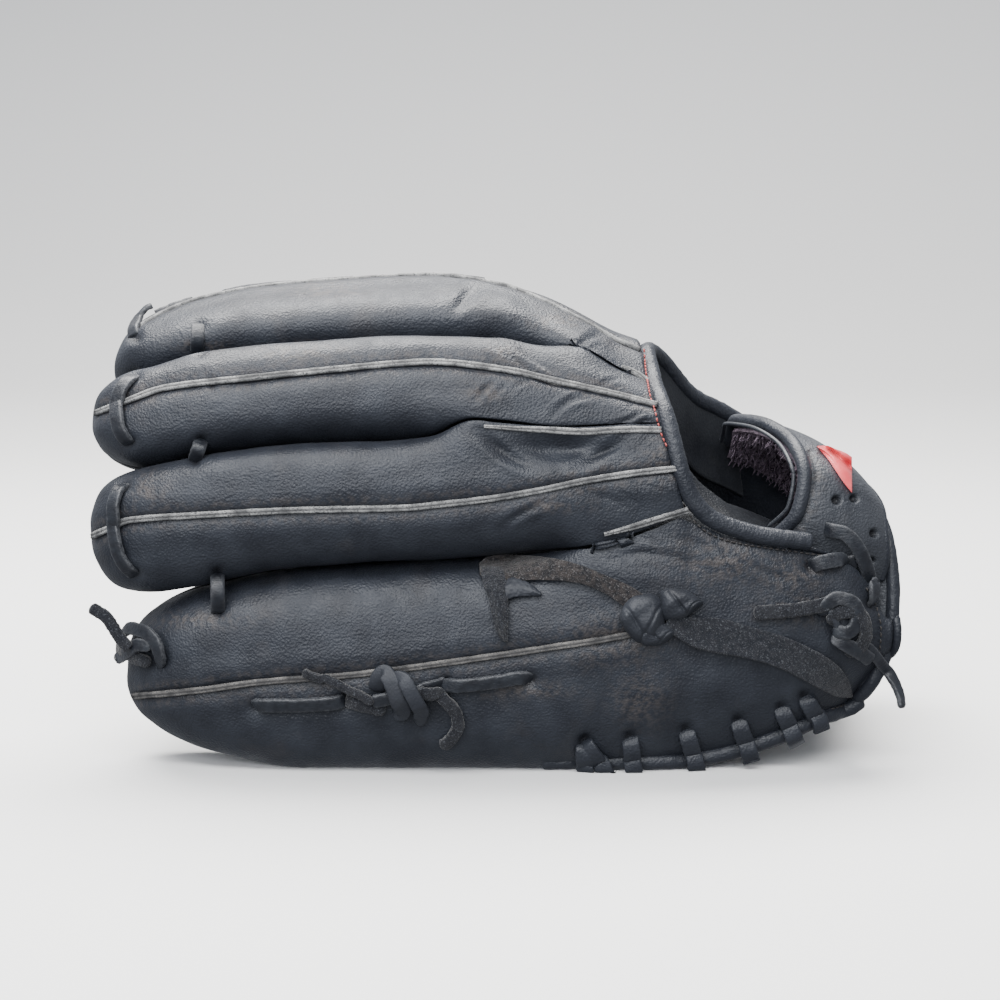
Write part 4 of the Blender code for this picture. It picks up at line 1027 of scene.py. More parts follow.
# The wide tie: its upper and lower lines
TIE_LONG_UPPER = ((646, 596), (630, 586), (607, 576), (580, 565), (555, 558.5), (530, 555.5), (505, 554.5),
                  (488, 556.5), (479, 563))
TIE_LONG_LOWER = ((640, 611), (626, 607), (606, 594), (580, 583.5), (556, 580.5), (532, 580), (508, 582),
                  (492, 580), (480, 575))
TIE_END_LEFT = ((479, 566), (483, 582), (489, 600), (493, 620), (498, 634), (504, 642))
TIE_END_RIGHT = ((503, 566), (506, 582), (508, 600), (508, 620), (508, 634), (508, 642))
TIE_FLAP_UPPER = ((504, 580), (514, 577), (526, 581), (541, 592))
TIE_FLAP_LOWER = ((506, 600), (516, 597), (528, 596), (541, 596))
TIE_WIDE_UPPER = ((668, 620), (680, 617.5), (710, 617.5), (753, 627.5), (785, 637), (806, 646), (828, 658),
                  (842, 670), (850, 684), (853, 696))
TIE_WIDE_LOWER = ((662, 628), (676, 637), (698, 649), (742, 657.5), (766, 663.5), (786, 671), (806, 681.5),
                  (824, 691), (840, 697.5), (852, 698))
# The lobes of the tied knots: name, CAD nodes, how tall in mm, and the upper and lower lines
KNOT_LOBES = (
    ("tie_knot_left", ("tie_knot",), 6.6, ((619, 617), (624, 604), (636, 594.5), (650, 593.5), (664, 600)),
     ((620, 621), (628, 634), (640, 643), (654, 640), (666, 627))),
    ("tie_knot_right", (), 6.8, ((659, 592), (668, 588), (682, 589), (695, 595), (703, 601.5)),
     ((661, 622), (672, 621), (684, 619), (694, 611), (703, 604))),
    ("tie_knot_low", (), 5.0, ((636, 634), (645, 625), (656, 620), (666, 624), (676, 631)),
     ((638, 640), (646, 646), (656, 646), (666, 642), (676, 634))),
    ("wrist_knot_body", (), 4.6, ((823, 607), (833, 599), (845, 599), (855, 606), (862, 618)),
     ((827, 615), (834, 630), (845, 644), (856, 649), (865, 641))),
)
# The red patch on the strap
PATCH_UPPER = ((817, 446), (826, 445.5), (836, 449), (846, 453), (852, 457))
PATCH_LOWER = ((819, 449), (828, 459), (836, 471), (844, 483), (852, 493))
# Heel laces: each goes over the rolled edge, from its hole down. The last one has no node of its own
HEEL_LOOPS = ((("heel_lace_little_1",),
               ((586, 741, -0.6), (589, 746, 1.4), (598, 758, 2.2), (606, 769, 2.2), (610, 775, 1.4))),
              (("heel_lace_little_2",),
               ((630, 738, -0.6), (631, 744, 1.5), (632, 756, 2.3), (633.5, 768, 2.3), (634, 775, 1.4))),
              (("heel_lace_little_3",),
               ((686, 731, -0.6), (688, 737, 1.5), (691, 748, 2.3), (694, 760, 2.3), (697, 770, 1.4))),
              (("heel_lace_little_4",),
               ((738, 721, -0.6), (740, 727, 1.5), (744, 738, 2.3), (748, 749, 2.3), (751, 759, 1.4))),
              (("heel_lace_little_5",),
               ((781, 708, -0.6), (783, 714, 1.5), (788, 724, 2.3), (792, 734, 2.3), (795, 742, 1.4))),
              (("heel_lace_little_6",),
               ((805, 697, -0.6), (807, 702, 1.5), (812, 711, 2.3), (817, 720, 2.3), (820, 728, 1.4))),
              ((), ((583, 745, -0.6), (583.5, 750, 1.6), (585, 760, 2.5), (587, 769, 2.4), (588, 775, 1.4))))


# The leather panels of the back

ROUND_ROWS = 30
ROW_STEP = 0.0044
PANEL_COLUMNS = {LITTLE: 88, RING: 76, MIDDLE: 72, INDEX: 76, THUMB: 72}


def ellipse_share(place, x, y, wide, tall, turn=0.0):
    """1 at the middle of an ellipse in the picture, falling smoothly to 0 outside it."""
    c, s = math.cos(math.radians(turn)), math.sin(math.radians(turn))
    dx, dy = place[:, 0] - x, place[:, 1] - y
    a, b = (dx * c + dy * s) / wide, (dy * c - dx * s) / tall
    return np.exp(-1.4 * (a * a + b * b))


def punched():
    """Every place where a lace goes into the leather."""
    places = []
    for lace in LACES + TURNS:
        places += [lace.places[end][:2] for end, sinks in zip((0, -1), lace.sinks) if sinks]
    for _, line in LINKS:
        places += [line[0], line[1]]
    places += [loop[0][:2] for _, loop in HEEL_LOOPS]
    return places


# Slow and quick unevenness of the back's leather: size and height
SWELL, SWELL_HEIGHT = 0.045, 0.0007
RIPPLE, RIPPLE_HEIGHT = 0.014, 0.00022
# The dimple that a lace pulls into the leather where it enters: depth, and radius in the picture
DIMPLE_DEPTH, DIMPLE_RADIUS = 0.0019, 6.5
# A welt lies in a groove between two raised shoulders
GROOVE_DEPTH, GROOVE_RADIUS = 0.0008, 0.0019
SHOULDER_HEIGHT, SHOULDER_AT, SHOULDER_RADIUS = 0.0006, 0.0065, 0.0040


def relief(panel, points, normals, welt):
    """How far a panel's leather stands off its plain curve, how folded and worn it is, and how much painted shade it
    gets in creases, beside its welt and at lace holes.
    """
    place = in_picture(points)
    view = np.array(EYE) - points
    view /= np.linalg.norm(view, axis=1)[:, None]
    seen = np.clip((normals * view).sum(1) * 5.0, 0.0, 1.0)
    height = roughness_of(points, SWELL) * SWELL_HEIGHT + roughness_of(points + 3.0, RIPPLE) * RIPPLE_HEIGHT
    dark, folds, worn = np.zeros(len(points)), np.zeros(len(points)), np.zeros(len(points))
    for crease in CREASES:
        if crease.panel != panel:
            continue
        line = [tuple(row) for row in spline(crease.line, 20)]
        away = line_distance(place, line)
        total = sum(math.dist(a, b) for a, b in zip(line, line[1:]))
        # A crease fades toward both its ends, and where the leather turns from the camera
        ends = np.minimum(np.hypot(*(place - line[0]).T), np.hypot(*(place - line[-1]).T))
        fade = np.clip(ends / (0.35 * total), 0.0, 1.0) * seen
        valley = np.exp(-(away / crease.width) ** 2)
        shoulder = 0.45 * np.exp(-((away - 2.3 * crease.width) / (1.2 * crease.width)) ** 2)
        height += crease.depth * MM * (shoulder - valley) * fade
        # Painted shade along the crease's valley
        dark += 0.35 * crease.depth * np.exp(-(away / (0.7 * crease.width)) ** 2) * fade
        folds = np.maximum(folds, 0.7 * np.exp(-(away / (4.0 * crease.width)) ** 2) * fade)
    for dent in DENTS:
        if dent.panel == panel:
            height -= dent.depth * MM * ellipse_share(place, *dent[1:6]) * seen
    for spot in FOLDS:
        folds = np.maximum(folds, ellipse_share(place, *spot) * seen)
    for spot in WORN:
        worn = np.maximum(worn, ellipse_share(place, *spot) * seen)
    for spot in punched():
        away = np.hypot(*(place - spot).T)
        height -= DIMPLE_DEPTH * np.exp(-(away / DIMPLE_RADIUS) ** 2) * seen
        # Painted shade in the hole where the lace goes in
        dark += 1.0 * np.exp(-(away / 5.0) ** 4) * seen
    away = line_distance(points, welt)
    height += (SHOULDER_HEIGHT * np.exp(-((away - SHOULDER_AT) / SHOULDER_RADIUS) ** 2)
               - GROOVE_DEPTH * np.exp(-(away / GROOVE_RADIUS) ** 2))
    # Painted shade in the groove beside the welt
    dark += 0.80 * np.exp(-(away / 0.0020) ** 4)
    worn = np.maximum(worn, 0.6 * np.exp(-((away - 0.0034) / 0.0016) ** 2))
    return height, np.clip(dark, 0, 1), folds, worn


def panel_sheet(panel):
    """The outer face of a panel, with rows that bend to follow its end."""
    columns = spread(PANEL_COLUMNS[panel])
    middle = panel_end(panel, 0.0)
    bend = middle - 0.13
    tip = TIPS[panel]
    rows_at = [tip.at + tip.round * (1.0 - math.cos(0.5 * math.pi * i / ROUND_ROWS)) for i in range(ROUND_ROWS)]
    count = round((middle - tip.at - tip.round) / ROW_STEP)
    rows_at += [mix(tip.at + tip.round, middle, i / count) for i in range(count + 1)]
    rows = []
    for at in rows_at:
        share = max(0.0, (at - bend) / (middle - bend))
        rows.append([skin(panel, station(at + (panel_end(panel, across) - middle) * share), across)
                     for across in columns])
    bm = grid_bmesh(rows)
    weld(bm, 1e-6)
    return bm


def welt_trail(panel, plain):
    """Where a finger's welt runs, on the panel's plain face."""
    if panel in WELT_LINES:
        return trail([place + (0.0,) for place in WELT_LINES[panel]], [plain], 150)
    places = FAR_WELTS[panel]
    points, normals = [], []
    for i in range(151):
        at = mix(places[0][0], places[-1][0], i / 150)
        point, normal = face(panel, station(at), curve(places, at)[0])
        points.append(point)
        normals.append(normal)
    return points, normals


trees, welts = [], {}
for panel in range(len(PANELS)):
    bm = panel_sheet(panel)
    bm.normal_update()
    welts[panel] = welt_trail(panel, BVHTree.FromBMesh(bm))
    points, normals = arrays(bm)
    height, dark, folds, worn = relief(panel, points, normals, welts[panel][0])
    push(bm, normals, height)
    # The layer named dark carries painted shade
    for layer, values in (("dark", dark), ("folds", folds), ("wear", worn)):
        write_layer(bm, layer, values)
    bm.normal_update()
    trees.append(BVHTree.FromBMesh(bm))
    name = "glove_back_" + PANELS[panel]
    piece = add_piece(name, to_mesh(bm, name), BACK, ("back_" + PANELS[panel],))
    solidify(piece, LEATHER)

for panel in range(len(PANELS)):
    points, normals = welts[panel]
    # A welt stands a little out of the groove between the two leathers that it joins
    points = [point + normal * 0.00020 for point, normal in zip(points, normals)]
    paint = WELT_DARK if panel in (LITTLE, THUMB) else WELT
    widths = [0.0025 * (1.0 + 0.10 * noise.noise(Vector((i * 0.3, panel, 0.0)))) for i in range(len(points))]
    band("glove_welt_" + PANELS[panel], points, normals, widths, 0.0019, paint, ("welt_" + PANELS[panel],),
         2.6, 0.10, notch=0.16, seed=panel * 7.0)

for low, (name, node, line) in zip((MIDDLE, RING, LITTLE), SEAM_WELTS):
    points, normals = trail([place + (0.4,) for place in line], trees[low:low + 2], 60, 6)
    points = smoothed(points, 30)
    widths = [mix(0.0012, 0.0026, min(1.0, i / 24.0)) for i in range(len(points))]
    band("glove_" + name, points, normals, widths, 0.0018, WELT, (node,), 2.6, 0.10, notch=0.2)


# The palm and the web

def palm_point(panel, x, across):
    """A point of the palm below a panel."""
    low = LOW_EDGE[panel]
    width = taper(panel, x)
    inner = []
    for k in (low, low + 1):
        point, wall = edge(k, x)
        inner.append(point - wall * palm_depth(k, x))
    span = (inner[1] - inner[0]).length
    gaps = [0.0 if k in (0, THUMB_SIDE) or hand_share(k, x) > 0.0 else SEAM_GAP / span for k in (low, low + 1)]
    point = inner[0].lerp(inner[1], mix(gaps[0], 1.0 - gaps[1], 0.5 + 0.5 * across * width))
    return Vector((point.x, point.y, max(PALM_LEATHER + FLOOR, point.z)))


# The rows of neighbouring fingers lie side by side, so that their points meet in the hand
PALM_START = 0.15
PALM_STEP = 0.0047
bm = bmesh.new()
for panel in range(len(PANELS)):
    count = 40 if panel == THUMB else 20
    tip = TIPS[panel]
    ats = [tip.at + tip.round * (1.0 - math.cos(0.5 * math.pi * i / 20)) for i in range(20)]
    first = next(at for at in (PALM_START + PALM_STEP * i for i in range(400)) if at > tip.at + tip.round)
    ats += [first + PALM_STEP * i for i in range(int((PALM_END - first) / PALM_STEP) + 1)] + [PALM_END]
    add_grid(bm, [[palm_point(panel, station(at), 2.0 * j / count - 1.0) for j in range(count + 1)] for at in ats])
weld(bm, 2e-6)
points, normals = arrays(bm)
push(bm, normals, roughness_of(points, 0.030) * 0.0004)
write_layer(bm, "folds", np.clip(roughness_of(points, 0.05) * 0.8 + 0.3, 0, 1))
palm = add_piece("glove_palm", to_mesh(bm, "glove_palm"), PALM, ("palm",))
solidify(palm, PALM_LEATHER)


def web_point(x, t, lift=0.0):
    """A point of the web, from the index finger at t = 0 to the thumb at 1."""
    ends = []
    for k, side in ((INDEX + 1, 1.0), (THUMB_TOP, -1.0)):
        point, wall = edge(k, x)
        away = Vector((0.0, wall.z, -wall.y)) * side
        ends.append(point - wall * back_depth(k, x) * WEB_SEAT - away * WEB_TUCK)
    chord = ends[1] - ends[0]
    outward = Vector((0.0, -chord.z, chord.y)).normalized()
    return ends[0].lerp(ends[1], t) + outward * (WEB_BULGE * 4.0 * t * (1.0 - t) + lift)


def web_face(at, t, lift=0.0):
    """A point above the web and the web's own direction outward there."""
    x = station(at)
    over = web_point(x, t + 0.02) - web_point(x, t - 0.02)
    along = web_point(x + REACH, t) - web_point(x - REACH, t)
    normal = along.cross(over).normalized()
    return web_point(x, t) + normal * lift, normal


rows = [[web_point(station(mix(WEB_START, WEB_END, i / 90)), j / 56) for j in range(57)] for i in range(91)]
bm = grid_bmesh(rows)
points, normals = arrays(bm)
height = roughness_of(points, 0.030) * 0.0005
folds = np.clip(roughness_of(points, 0.035) + 0.2, 0, 1)
push(bm, normals, height)
write_layer(bm, "folds", folds)
web_tree = BVHTree.FromBMesh(bm)
web = add_piece("glove_web", to_mesh(bm, "glove_web"), PALM, ("web",))
solidify(web, WEB_LEATHER)


def web_band(name, places, width, thickness, paint, nodes=(), lift=0.0012, count=60):
    """A band on the web through places given as share along, share across and mm held off."""
    points, normals = [], []
    for at, t, held in spline(places, count):
        point, normal = web_face(at, t, lift + held * MM)
        points.append(point)
        normals.append(normal)
    band(name, points, normals, width, thickness, paint, nodes, rough=0.04)


# The web's two leathers are joined along the middle by a strip with laces crossed over it, and laces run in and
# out beside both fingers. Starts and pitches are shares of LENGTH
WEB_RUNS, WEB_RUN_START, WEB_RUN_PITCH = 9, 0.185, 0.034
WEB_CROSSES, WEB_CROSS_START, WEB_CROSS_PITCH = 5, WEB_START + 0.035, 0.066
WEB_TOP_DROP = 0.0020
web_band("web_spine", ((WEB_START + 0.012, 0.5, 0.0), (0.36, 0.5, 0.2), (WEB_END - 0.015, 0.5, 0.0)), 0.017, 0.0022,
         BINDING, (), 0.0010, 80)
for side, t, node in (("index", 0.14, "web_lace_index"), ("thumb", 0.86, "web_lace_thumb")):
    for i in range(WEB_RUNS):
        start = WEB_RUN_START + WEB_RUN_PITCH * i
        web_band("web_run_%s_%d" % (side, i + 1),
                 ((start, t, -2.2), (start + 0.003, t, 0.0), (start + 0.021, t, 0.2), (start + 0.024, t, -2.2)),
                 0.0052, 0.0021, LACE, (node,) if i == 0 else (), count=20)
for i in range(WEB_CROSSES):
    start = WEB_CROSS_START + WEB_CROSS_PITCH * i
    for sign in (1.0, -1.0):
        web_band("web_cross_%d_%s" % (i + 1, "a" if sign > 0.0 else "b"),
                 ((start, 0.5 - 0.115 * sign, -2.0), (start + 0.004, 0.5 - 0.100 * sign, 1.6),
                  (start + 0.020, 0.5, 2.6 + sign * 0.9), (start + 0.036, 0.5 + 0.100 * sign, 1.6),
                  (start + 0.040, 0.5 + 0.115 * sign, -2.0)), 0.0048, 0.0020, LACE, (), 0.0010, 26)
points = [web_point(station(WEB_START) - 0.0006, mix(0.02, 0.98, i / 70), -WEB_TOP_DROP) for i in range(71)]
roll("web_top_roll", points, 0.0034, BINDING, rough=0.08)
WEB_TOP_LOOPS = (0.10, 0.24, 0.38, 0.62, 0.76, 0.90)
for i, t in enumerate(WEB_TOP_LOOPS):
    x = station(WEB_START)
    middle = web_point(x, t, -WEB_TOP_DROP)
    out = (web_point(x, t, 0.004) - web_point(x, t)).normalized()
    points, normals = [], []
    for j in range(25):
        turn = math.radians(mix(-70.0, 250.0, j / 24))
        way = out * math.sin(turn) + Vector((-1.0, 0.0, 0.0)) * math.cos(turn)
        points.append(middle + way * (0.0046 if turn < math.pi else 0.0050))
        normals.append(way)
    over = (web_point(x, t + 0.02) - web_point(x, t - 0.02)).normalized()
    points = [point + over * (0.003 * (j / 24 - 0.5)) for j, point in enumerate(points)]
    band("web_top_loop_%d" % (i + 1), points, normals, 0.0050, 0.0020, LACE)


# The wrist strap, its fleece and its plain patch

def strap_rims(t):
    """The strap's front and rear rim at a share of its length."""
    steps = len(STRAP_FRONT) - 1
    ends = []
    for rims in (STRAP_FRONT, STRAP_REAR):
        at, across, up = curve([(i / steps,) + row for i, row in enumerate(rims)], t)
        ends.append(Vector((station(at), crossways(across), up * HEIGHT)))
    return ends


def strap_point(t, w, lift=0.0):
    """A point of the strap, or above it: t along, w from its front rim to its rear."""
    front, rear = strap_rims(t)
    before, after = strap_rims(max(0.0, t - 0.02)), strap_rims(min(1.0, t + 0.02))
    over = after[0].lerp(after[1], w) - before[0].lerp(before[1], w)
    normal = (rear - front).cross(over).normalized()
    return front.lerp(rear, w) + normal * (STRAP_BULGE * 4.0 * w * (1.0 - w) + lift)


STRAP_CREASES = (((811, 452), (817, 473), (809, 503), (801, 524)), ((803, 462), (808, 480), (803, 500)))
rows = [[strap_point(i / 220, j / 64) for i in range(221)] for j in range(65)]
bm = grid_bmesh(rows)
points, normals = arrays(bm)
place = in_picture(points)
height = roughness_of(points, 0.022) * 0.0004
dark, folds, worn = (np.zeros(len(points)) for _ in range(3))
for line in STRAP_CREASES:
    away = line_distance(place, [tuple(row) for row in spline(line, 20)])
    height -= 0.0007 * np.exp(-(away / 2.8) ** 2)
    # Painted shade in the strap's crease
    dark += 0.4 * np.exp(-(away / 2.0) ** 2)
    folds = np.maximum(folds, np.exp(-(away / 14.0) ** 2))
    worn = np.maximum(worn, 0.7 * np.exp(-(away / 9.0) ** 2))
for x, y, size in HOLES:
    away = np.hypot(place[:, 0] - x, place[:, 1] - y)
    height -= 0.0026 / (1.0 + np.exp((away - size) * 2.4)) + 0.0003 * np.exp(-(away / (2.0 * size)) ** 2)
    # Painted shade inside the hole, which is only a shallow dent
    dark += 1.0 / (1.0 + np.exp((away - size) * 3.0))
push(bm, normals, height)
# The layer named dark carries painted shade
for layer, values in (("dark", np.clip(dark, 0, 1)), ("folds", folds), ("wear", worn)):
    write_layer(bm, layer, values)
bm.normal_update()
strap_tree = BVHTree.FromBMesh(bm)
strap = add_piece("glove_strap", to_mesh(bm, "glove_strap"), STRAP, ("wrist_strap",))
solidify(strap, STRAP_LEATHER)
roll("strap_front_roll", [strap_point(mix(0.02, 0.98, i / 160), 0.0, -0.0012) for i in range(161)], 0.0027, BINDING,
     rough=0.04)
roll("strap_piping", [strap_point(mix(0.03, 0.97, i / 160), -0.075, -0.0034) for i in range(161)], 0.0008, PIPING,
     sides=10, rough=0.04)
roll("strap_rear_roll", [strap_point(mix(0.05, 0.95, i / 160), 1.0, -0.0014) for i in range(161)], 0.0019, BINDING)

# The fleece: how far under the leather it starts, how thick it is and how high its curls and hairs stand
FLEECE_DROP = STRAP_LEATHER + 2.0 * CLEARANCE
FLEECE_THICK = 0.0022
CURL = 0.0024
CURL_SIZE = 1.0 / 260.0
HAIR = 0.0026
HAIR_LEAN = 0.0016
HAIR_RADIUS = 0.00055
HAIRS = 2600
FLEECE_ROWS, FLEECE_COLUMNS = 48, 190
FLEECE_FRONT = 0.03


def fleece_hair(bm, root, out, lean):
    rings = []
    for share in (0.0, 0.5, 1.0):
        middle = root + out * (HAIR * share) + lean * (HAIR_LEAN * share * share)
        wide = HAIR_RADIUS * (1.0 - 0.7 * share)
        side = out.cross(lean).normalized()
        up = out.cross(side)
        rings.append([bm.verts.new(middle + (side * math.cos(a) + up * math.sin(a)) * wide)
                      for a in (0.0, 2.1, 4.2)])
    tube(bm, rings)


def fleece():
    """A flat back against the strap, a curled face, the rim between them, and loose hairs."""
    chance = random.Random(5)
    bm = bmesh.new()
    backs, curls = [], []
    for j in range(FLEECE_ROWS + 1):
        w = mix(FLEECE_FRONT, 1.0, j / FLEECE_ROWS)
        back_row, curl_row = [], []
        for i in range(FLEECE_COLUMNS + 1):
            t = i / FLEECE_COLUMNS
            top, low = strap_point(t, w, -FLEECE_DROP), strap_point(t, w, -FLEECE_DROP - FLEECE_THICK)
            inside = min(1.0, min(i, FLEECE_COLUMNS - i, j, FLEECE_ROWS - j) / 5.0)
            curl = 0.5 + 0.5 * noise.fractal(low / CURL_SIZE, 1.0, 2.0, 3)
            back_row.append(bm.verts.new(top))
            curl_row.append(bm.verts.new(low + (low - top).normalized() * (CURL * curl * inside)))
        backs.append(back_row)
        curls.append(curl_row)
    for j in range(FLEECE_ROWS):
        for i in range(FLEECE_COLUMNS):
            bm.faces.new((backs[j][i], backs[j + 1][i], backs[j + 1][i + 1], backs[j][i + 1]))
            bm.faces.new((curls[j][i + 1], curls[j + 1][i + 1], curls[j + 1][i], curls[j][i]))
    for j in range(FLEECE_ROWS):
        for i in (0, FLEECE_COLUMNS):
            bm.faces.new((backs[j][i], backs[j + 1][i], curls[j + 1][i], curls[j][i]))
    for i in range(FLEECE_COLUMNS):
        for j in (0, FLEECE_ROWS):
            bm.faces.new((backs[j][i], backs[j][i + 1], curls[j][i + 1], curls[j][i]))
    for _ in range(HAIRS):
        j, i = chance.randrange(2, FLEECE_ROWS - 1), chance.randrange(2, FLEECE_COLUMNS - 1)
        root = curls[j][i].co
        lean = Vector([chance.uniform(-1.0, 1.0) for _ in range(3)])
        fleece_hair(bm, root, (root - backs[j][i].co).normalized(), lean)
    bmesh.ops.recalc_face_normals(bm, faces=bm.faces)
    return bm


add_piece("strap_fleece", to_mesh(fleece(), "strap_fleece"), FLEECE_PAINT, ("strap_lining",))


def patch_lift(u, v):
    """The patch is folded up in a ridge along its middle."""
    ridge = 3.6 * math.exp(-((v + 0.15) / 0.45) ** 2) * math.sin(math.pi * min(1.0, 0.25 + 0.75 * u)) ** 0.6
    return 1.6 + ridge


form("strap_patch", PATCH_UPPER, PATCH_LOWER, patch_lift, lambda u, v: 2.4, [strap_tree], RED, ("strap_badge",),
     20, 40, 2, 0.00006)


# The rolled bindings

def opening_path():
    """The opening's rim, from the little finger's side over the back to the thumb."""
    path = [rim(1, station(mix(BINDING_NEAR_END, OPENING[0] + BINDING_TURN, i / 12))) for i in range(13)]
    for i in range(1, 20):
        c = 3.0 * i / 20
        panel, across = 1 + int(c), 2.0 * (c - int(c)) - 1.0
        path.append(face(panel, station(opening_at(panel, across)), across, -0.5 * LEATHER)[0])
    path += [rim(INDEX + 1, station(mix(OPENING[-1] + BINDING_TURN, BINDING_FAR_END, i / 12))) for i in range(13)]
    path = smoothed(path, 2)
    return [Vector(row) for row in spline([tuple(point) for point in path], 300)]


def tree_of(piece):
    bm = bmesh.new()
    bm.from_mesh(piece.data)
    tree = BVHTree.FromBMesh(bm)
    bm.free()
    return tree


opening_line = opening_path()
# The lining hangs from the far rim, between these two steps of the opening's line
FAR_LINING = slice(178, 292)
rows = []
for j in range(25):
    down = j / 24
    fold = Vector((0.0030 * down, -0.0020 - 0.0050 * down * down, -0.0010 - 0.0300 * down))
    rows.append([point + fold for point in opening_line[FAR_LINING]])
bm = grid_bmesh(rows)
points, normals = arrays(bm)
push(bm, normals, roughness_of(points, 0.025) * 0.0006)
far_lining = add_piece("opening_far_lining", to_mesh(bm, "opening_far_lining"), PALM, ())
solidify(far_lining, 0.0018)
opening = roll("opening_roll", opening_line, 1.2 * BINDING_RADIUS, BINDING, ("opening_binding",), sides=24,
               rough=0.07)
opening_tree = tree_of(opening)
for panel in (LITTLE, THUMB):
    path = []
    for i in range(80):
        across = mix(HEEL_BINDING_SPAN[0], HEEL_BINDING_SPAN[1], i / 79)
        x = station(panel_end(panel, across))
        over = skin(panel, station(panel_end(panel, across + 0.05)), across + 0.05) - skin(panel, x, across)
        slant = over.length / math.hypot(over.y, over.z)
        path.append(face(panel, x + (HEEL_ROLL + CLEARANCE) * slant, across, -0.5 * LEATHER)[0])
    roll("heel_roll_" + PANELS[panel], path, HEEL_ROLL, BINDING, ("heel_binding_" + PANELS[panel],), rough=0.06)


# The heel's rolled edge, its laces, and all other laces and knots

# The wall that closes the heel behind the strap ends in a rolled rim: right, down and depth in mm
HEEL_RIM = ((842, 474, 38), (858, 488, 30), (872, 505, 22), (883, 526, 14), (890, 556, 7), (893, 590, 3),
            (892, 622, 0), (886, 652, -2), (875, 677, -2), (864, 692, 0), (854, 700, 3))
HEEL_INSIDE = ((822, 482, 34), (836, 498, 27), (850, 515, 20), (860, 536, 13), (866, 562, 8), (868, 592, 5),
               (867, 622, 3), (860, 646, 1), (850, 662, 2), (841, 672, 4), (832, 678, 7))
rim_line = [at_depth(px, py, depth * MM) for px, py, depth in spline(HEEL_RIM, 120)]
inside_line = [at_depth(px, py, depth * MM) for px, py, depth in spline(HEEL_INSIDE, 120)]
rows = [[a.lerp(b, j / 20) + Vector((0.0, -0.0016 * math.sin(math.pi * j / 20), 0.0))
         for a, b in zip(rim_line, inside_line)] for j in range(21)]
bm = grid_bmesh(rows)
heel_wall = add_piece("heel_wall", to_mesh(bm, "heel_wall"), STRAP, ())
solidify(heel_wall, LEATHER)
roll("heel_rim", rim_line, 0.0027, BINDING, (), rough=0.06)

HEEL_EDGE = ((540, 767, 0.2), (560, 768, 0.8), (590, 767.5, 0.9), (630, 765, 0.9), (660, 761.5, 0.9),
             (700, 756, 0.9), (740, 747, 0.9), (775, 735, 0.9), (800, 724, 0.9), (828, 713, 0.8), (850, 706, 0.6),
             (862, 698, 0.2))
HEEL_EDGE_FLOOR = 0.0030


def heel_edge(name, points, radius):
    """A rolled edge of the heel, kept off the floor."""
    return roll(name, [Vector((p.x, p.y, max(p.z, HEEL_EDGE_FLOOR))) for p in points], radius, BINDING, rough=0.08)


points, normals = trail(HEEL_EDGE, trees, 160, 2)
little_edge = heel_edge("heel_edge_little", points, 0.0031)
near = trees + [opening_tree, strap_tree, tree_of(little_edge)]


def far_trail(places, trees_there, count):
    """Points and directions on the thumb's side, through places given as shares of LENGTH and HEIGHT, and mm."""
    points, normals = [], []
    rows = spline(places, count)
    hits = fill_gaps([hit(trees_there, Vector((station(at), 0.5, up * HEIGHT)), Vector((0.0, -1.0, 0.0)))
                      for at, up, _ in rows])
    soft = [normal.normalized() for normal in smoothed([normal for _, normal in hits], 6)]
    for (at, up, held), (distance, _), normal in zip(rows, hits, soft):
        points.append(Vector((station(at), 0.5 - distance, up * HEIGHT)) + normal * (held * MM))
        normals.append(normal)
    return points, normals


for i, (nodes, places) in enumerate(HEEL_LOOPS):
    points, normals = trail(places, near, 40, 1)
    band("heel_loop_%d" % (i + 1), points, normals, 0.0066, 0.0022, BINDING, nodes, square=4.6, rough=0.08,
         seed=i * 3.0)

# The heel's edge on the thumb's side, and where its laces go over it, as shares of LENGTH
THUMB_EDGE_START = 0.58
THUMB_EDGE_END = 0.955
THUMB_LOOPS = (0.677, 0.742, 0.804, 0.857, 0.892)
places = []
for i in range(13):
    at = mix(THUMB_EDGE_START, THUMB_EDGE_END, i / 12)
    places.append((at, max(0.019, edge(THUMB_SIDE, station(at))[0].z / HEIGHT + 0.024), 0.9))
points, normals = far_trail(places, trees, 120)
far_edge = heel_edge("heel_edge_thumb", points, 0.0026)
far_trees = trees + [tree_of(far_edge), web_tree]
for i, at in enumerate(THUMB_LOOPS):
    low = max(0.0, edge(THUMB_SIDE, station(at))[0].z / HEIGHT)
    places = ((at, low + 0.095, -0.6), (at + 0.001, low + 0.084, 1.5), (at + 0.005, low + 0.055, 2.3),
              (at + 0.009, low + 0.028, 2.3), (at + 0.011, low + 0.012, 1.4))
    points, normals = far_trail(places, far_trees, 40)
    band("heel_loop_thumb_%d" % (i + 1), points, normals, 0.0056, 0.0022, LACE, ("heel_lace_thumb_%d" % (i + 1),),
         rough=0.05, seed=i * 5.0)
THUMB_SIDE_LACES = (
    ((0.30, 0.26, -0.8), (0.305, 0.26, 1.5), (0.36, 0.265, 1.9), (0.415, 0.27, 1.5), (0.42, 0.27, -0.8)),
    ((0.45, 0.275, -0.8), (0.455, 0.275, 1.5), (0.50, 0.28, 1.9), (0.545, 0.285, 1.5), (0.55, 0.285, -0.8)),
)
for i, places in enumerate(THUMB_SIDE_LACES):
    points, normals = far_trail(places, far_trees, 60)
    band("thumb_side_lace_%d" % (i + 1), points, normals, 0.0054, 0.0022, LACE, (), rough=0.04, seed=i * 2.0)

for i, lace in enumerate(LACES + TURNS):
    count = max(24, int(sum(math.dist(a, b) for a, b in zip(lace.places, lace.places[1:])) * 0.9))
    points, normals = trail(lace.places, near, count, 12)
    sunk = [not sinks for sinks in lace.sinks]
    band("glove_" + lace.name, points, normals, lace.width * MM, lace.thick * MM, lace.paint, lace.nodes,
         square=5.0, rough=0.09 if lace.paint in (LACE, KNOT_LEATHER) else 0.14, taper_ends=sunk, seed=i * 1.7)

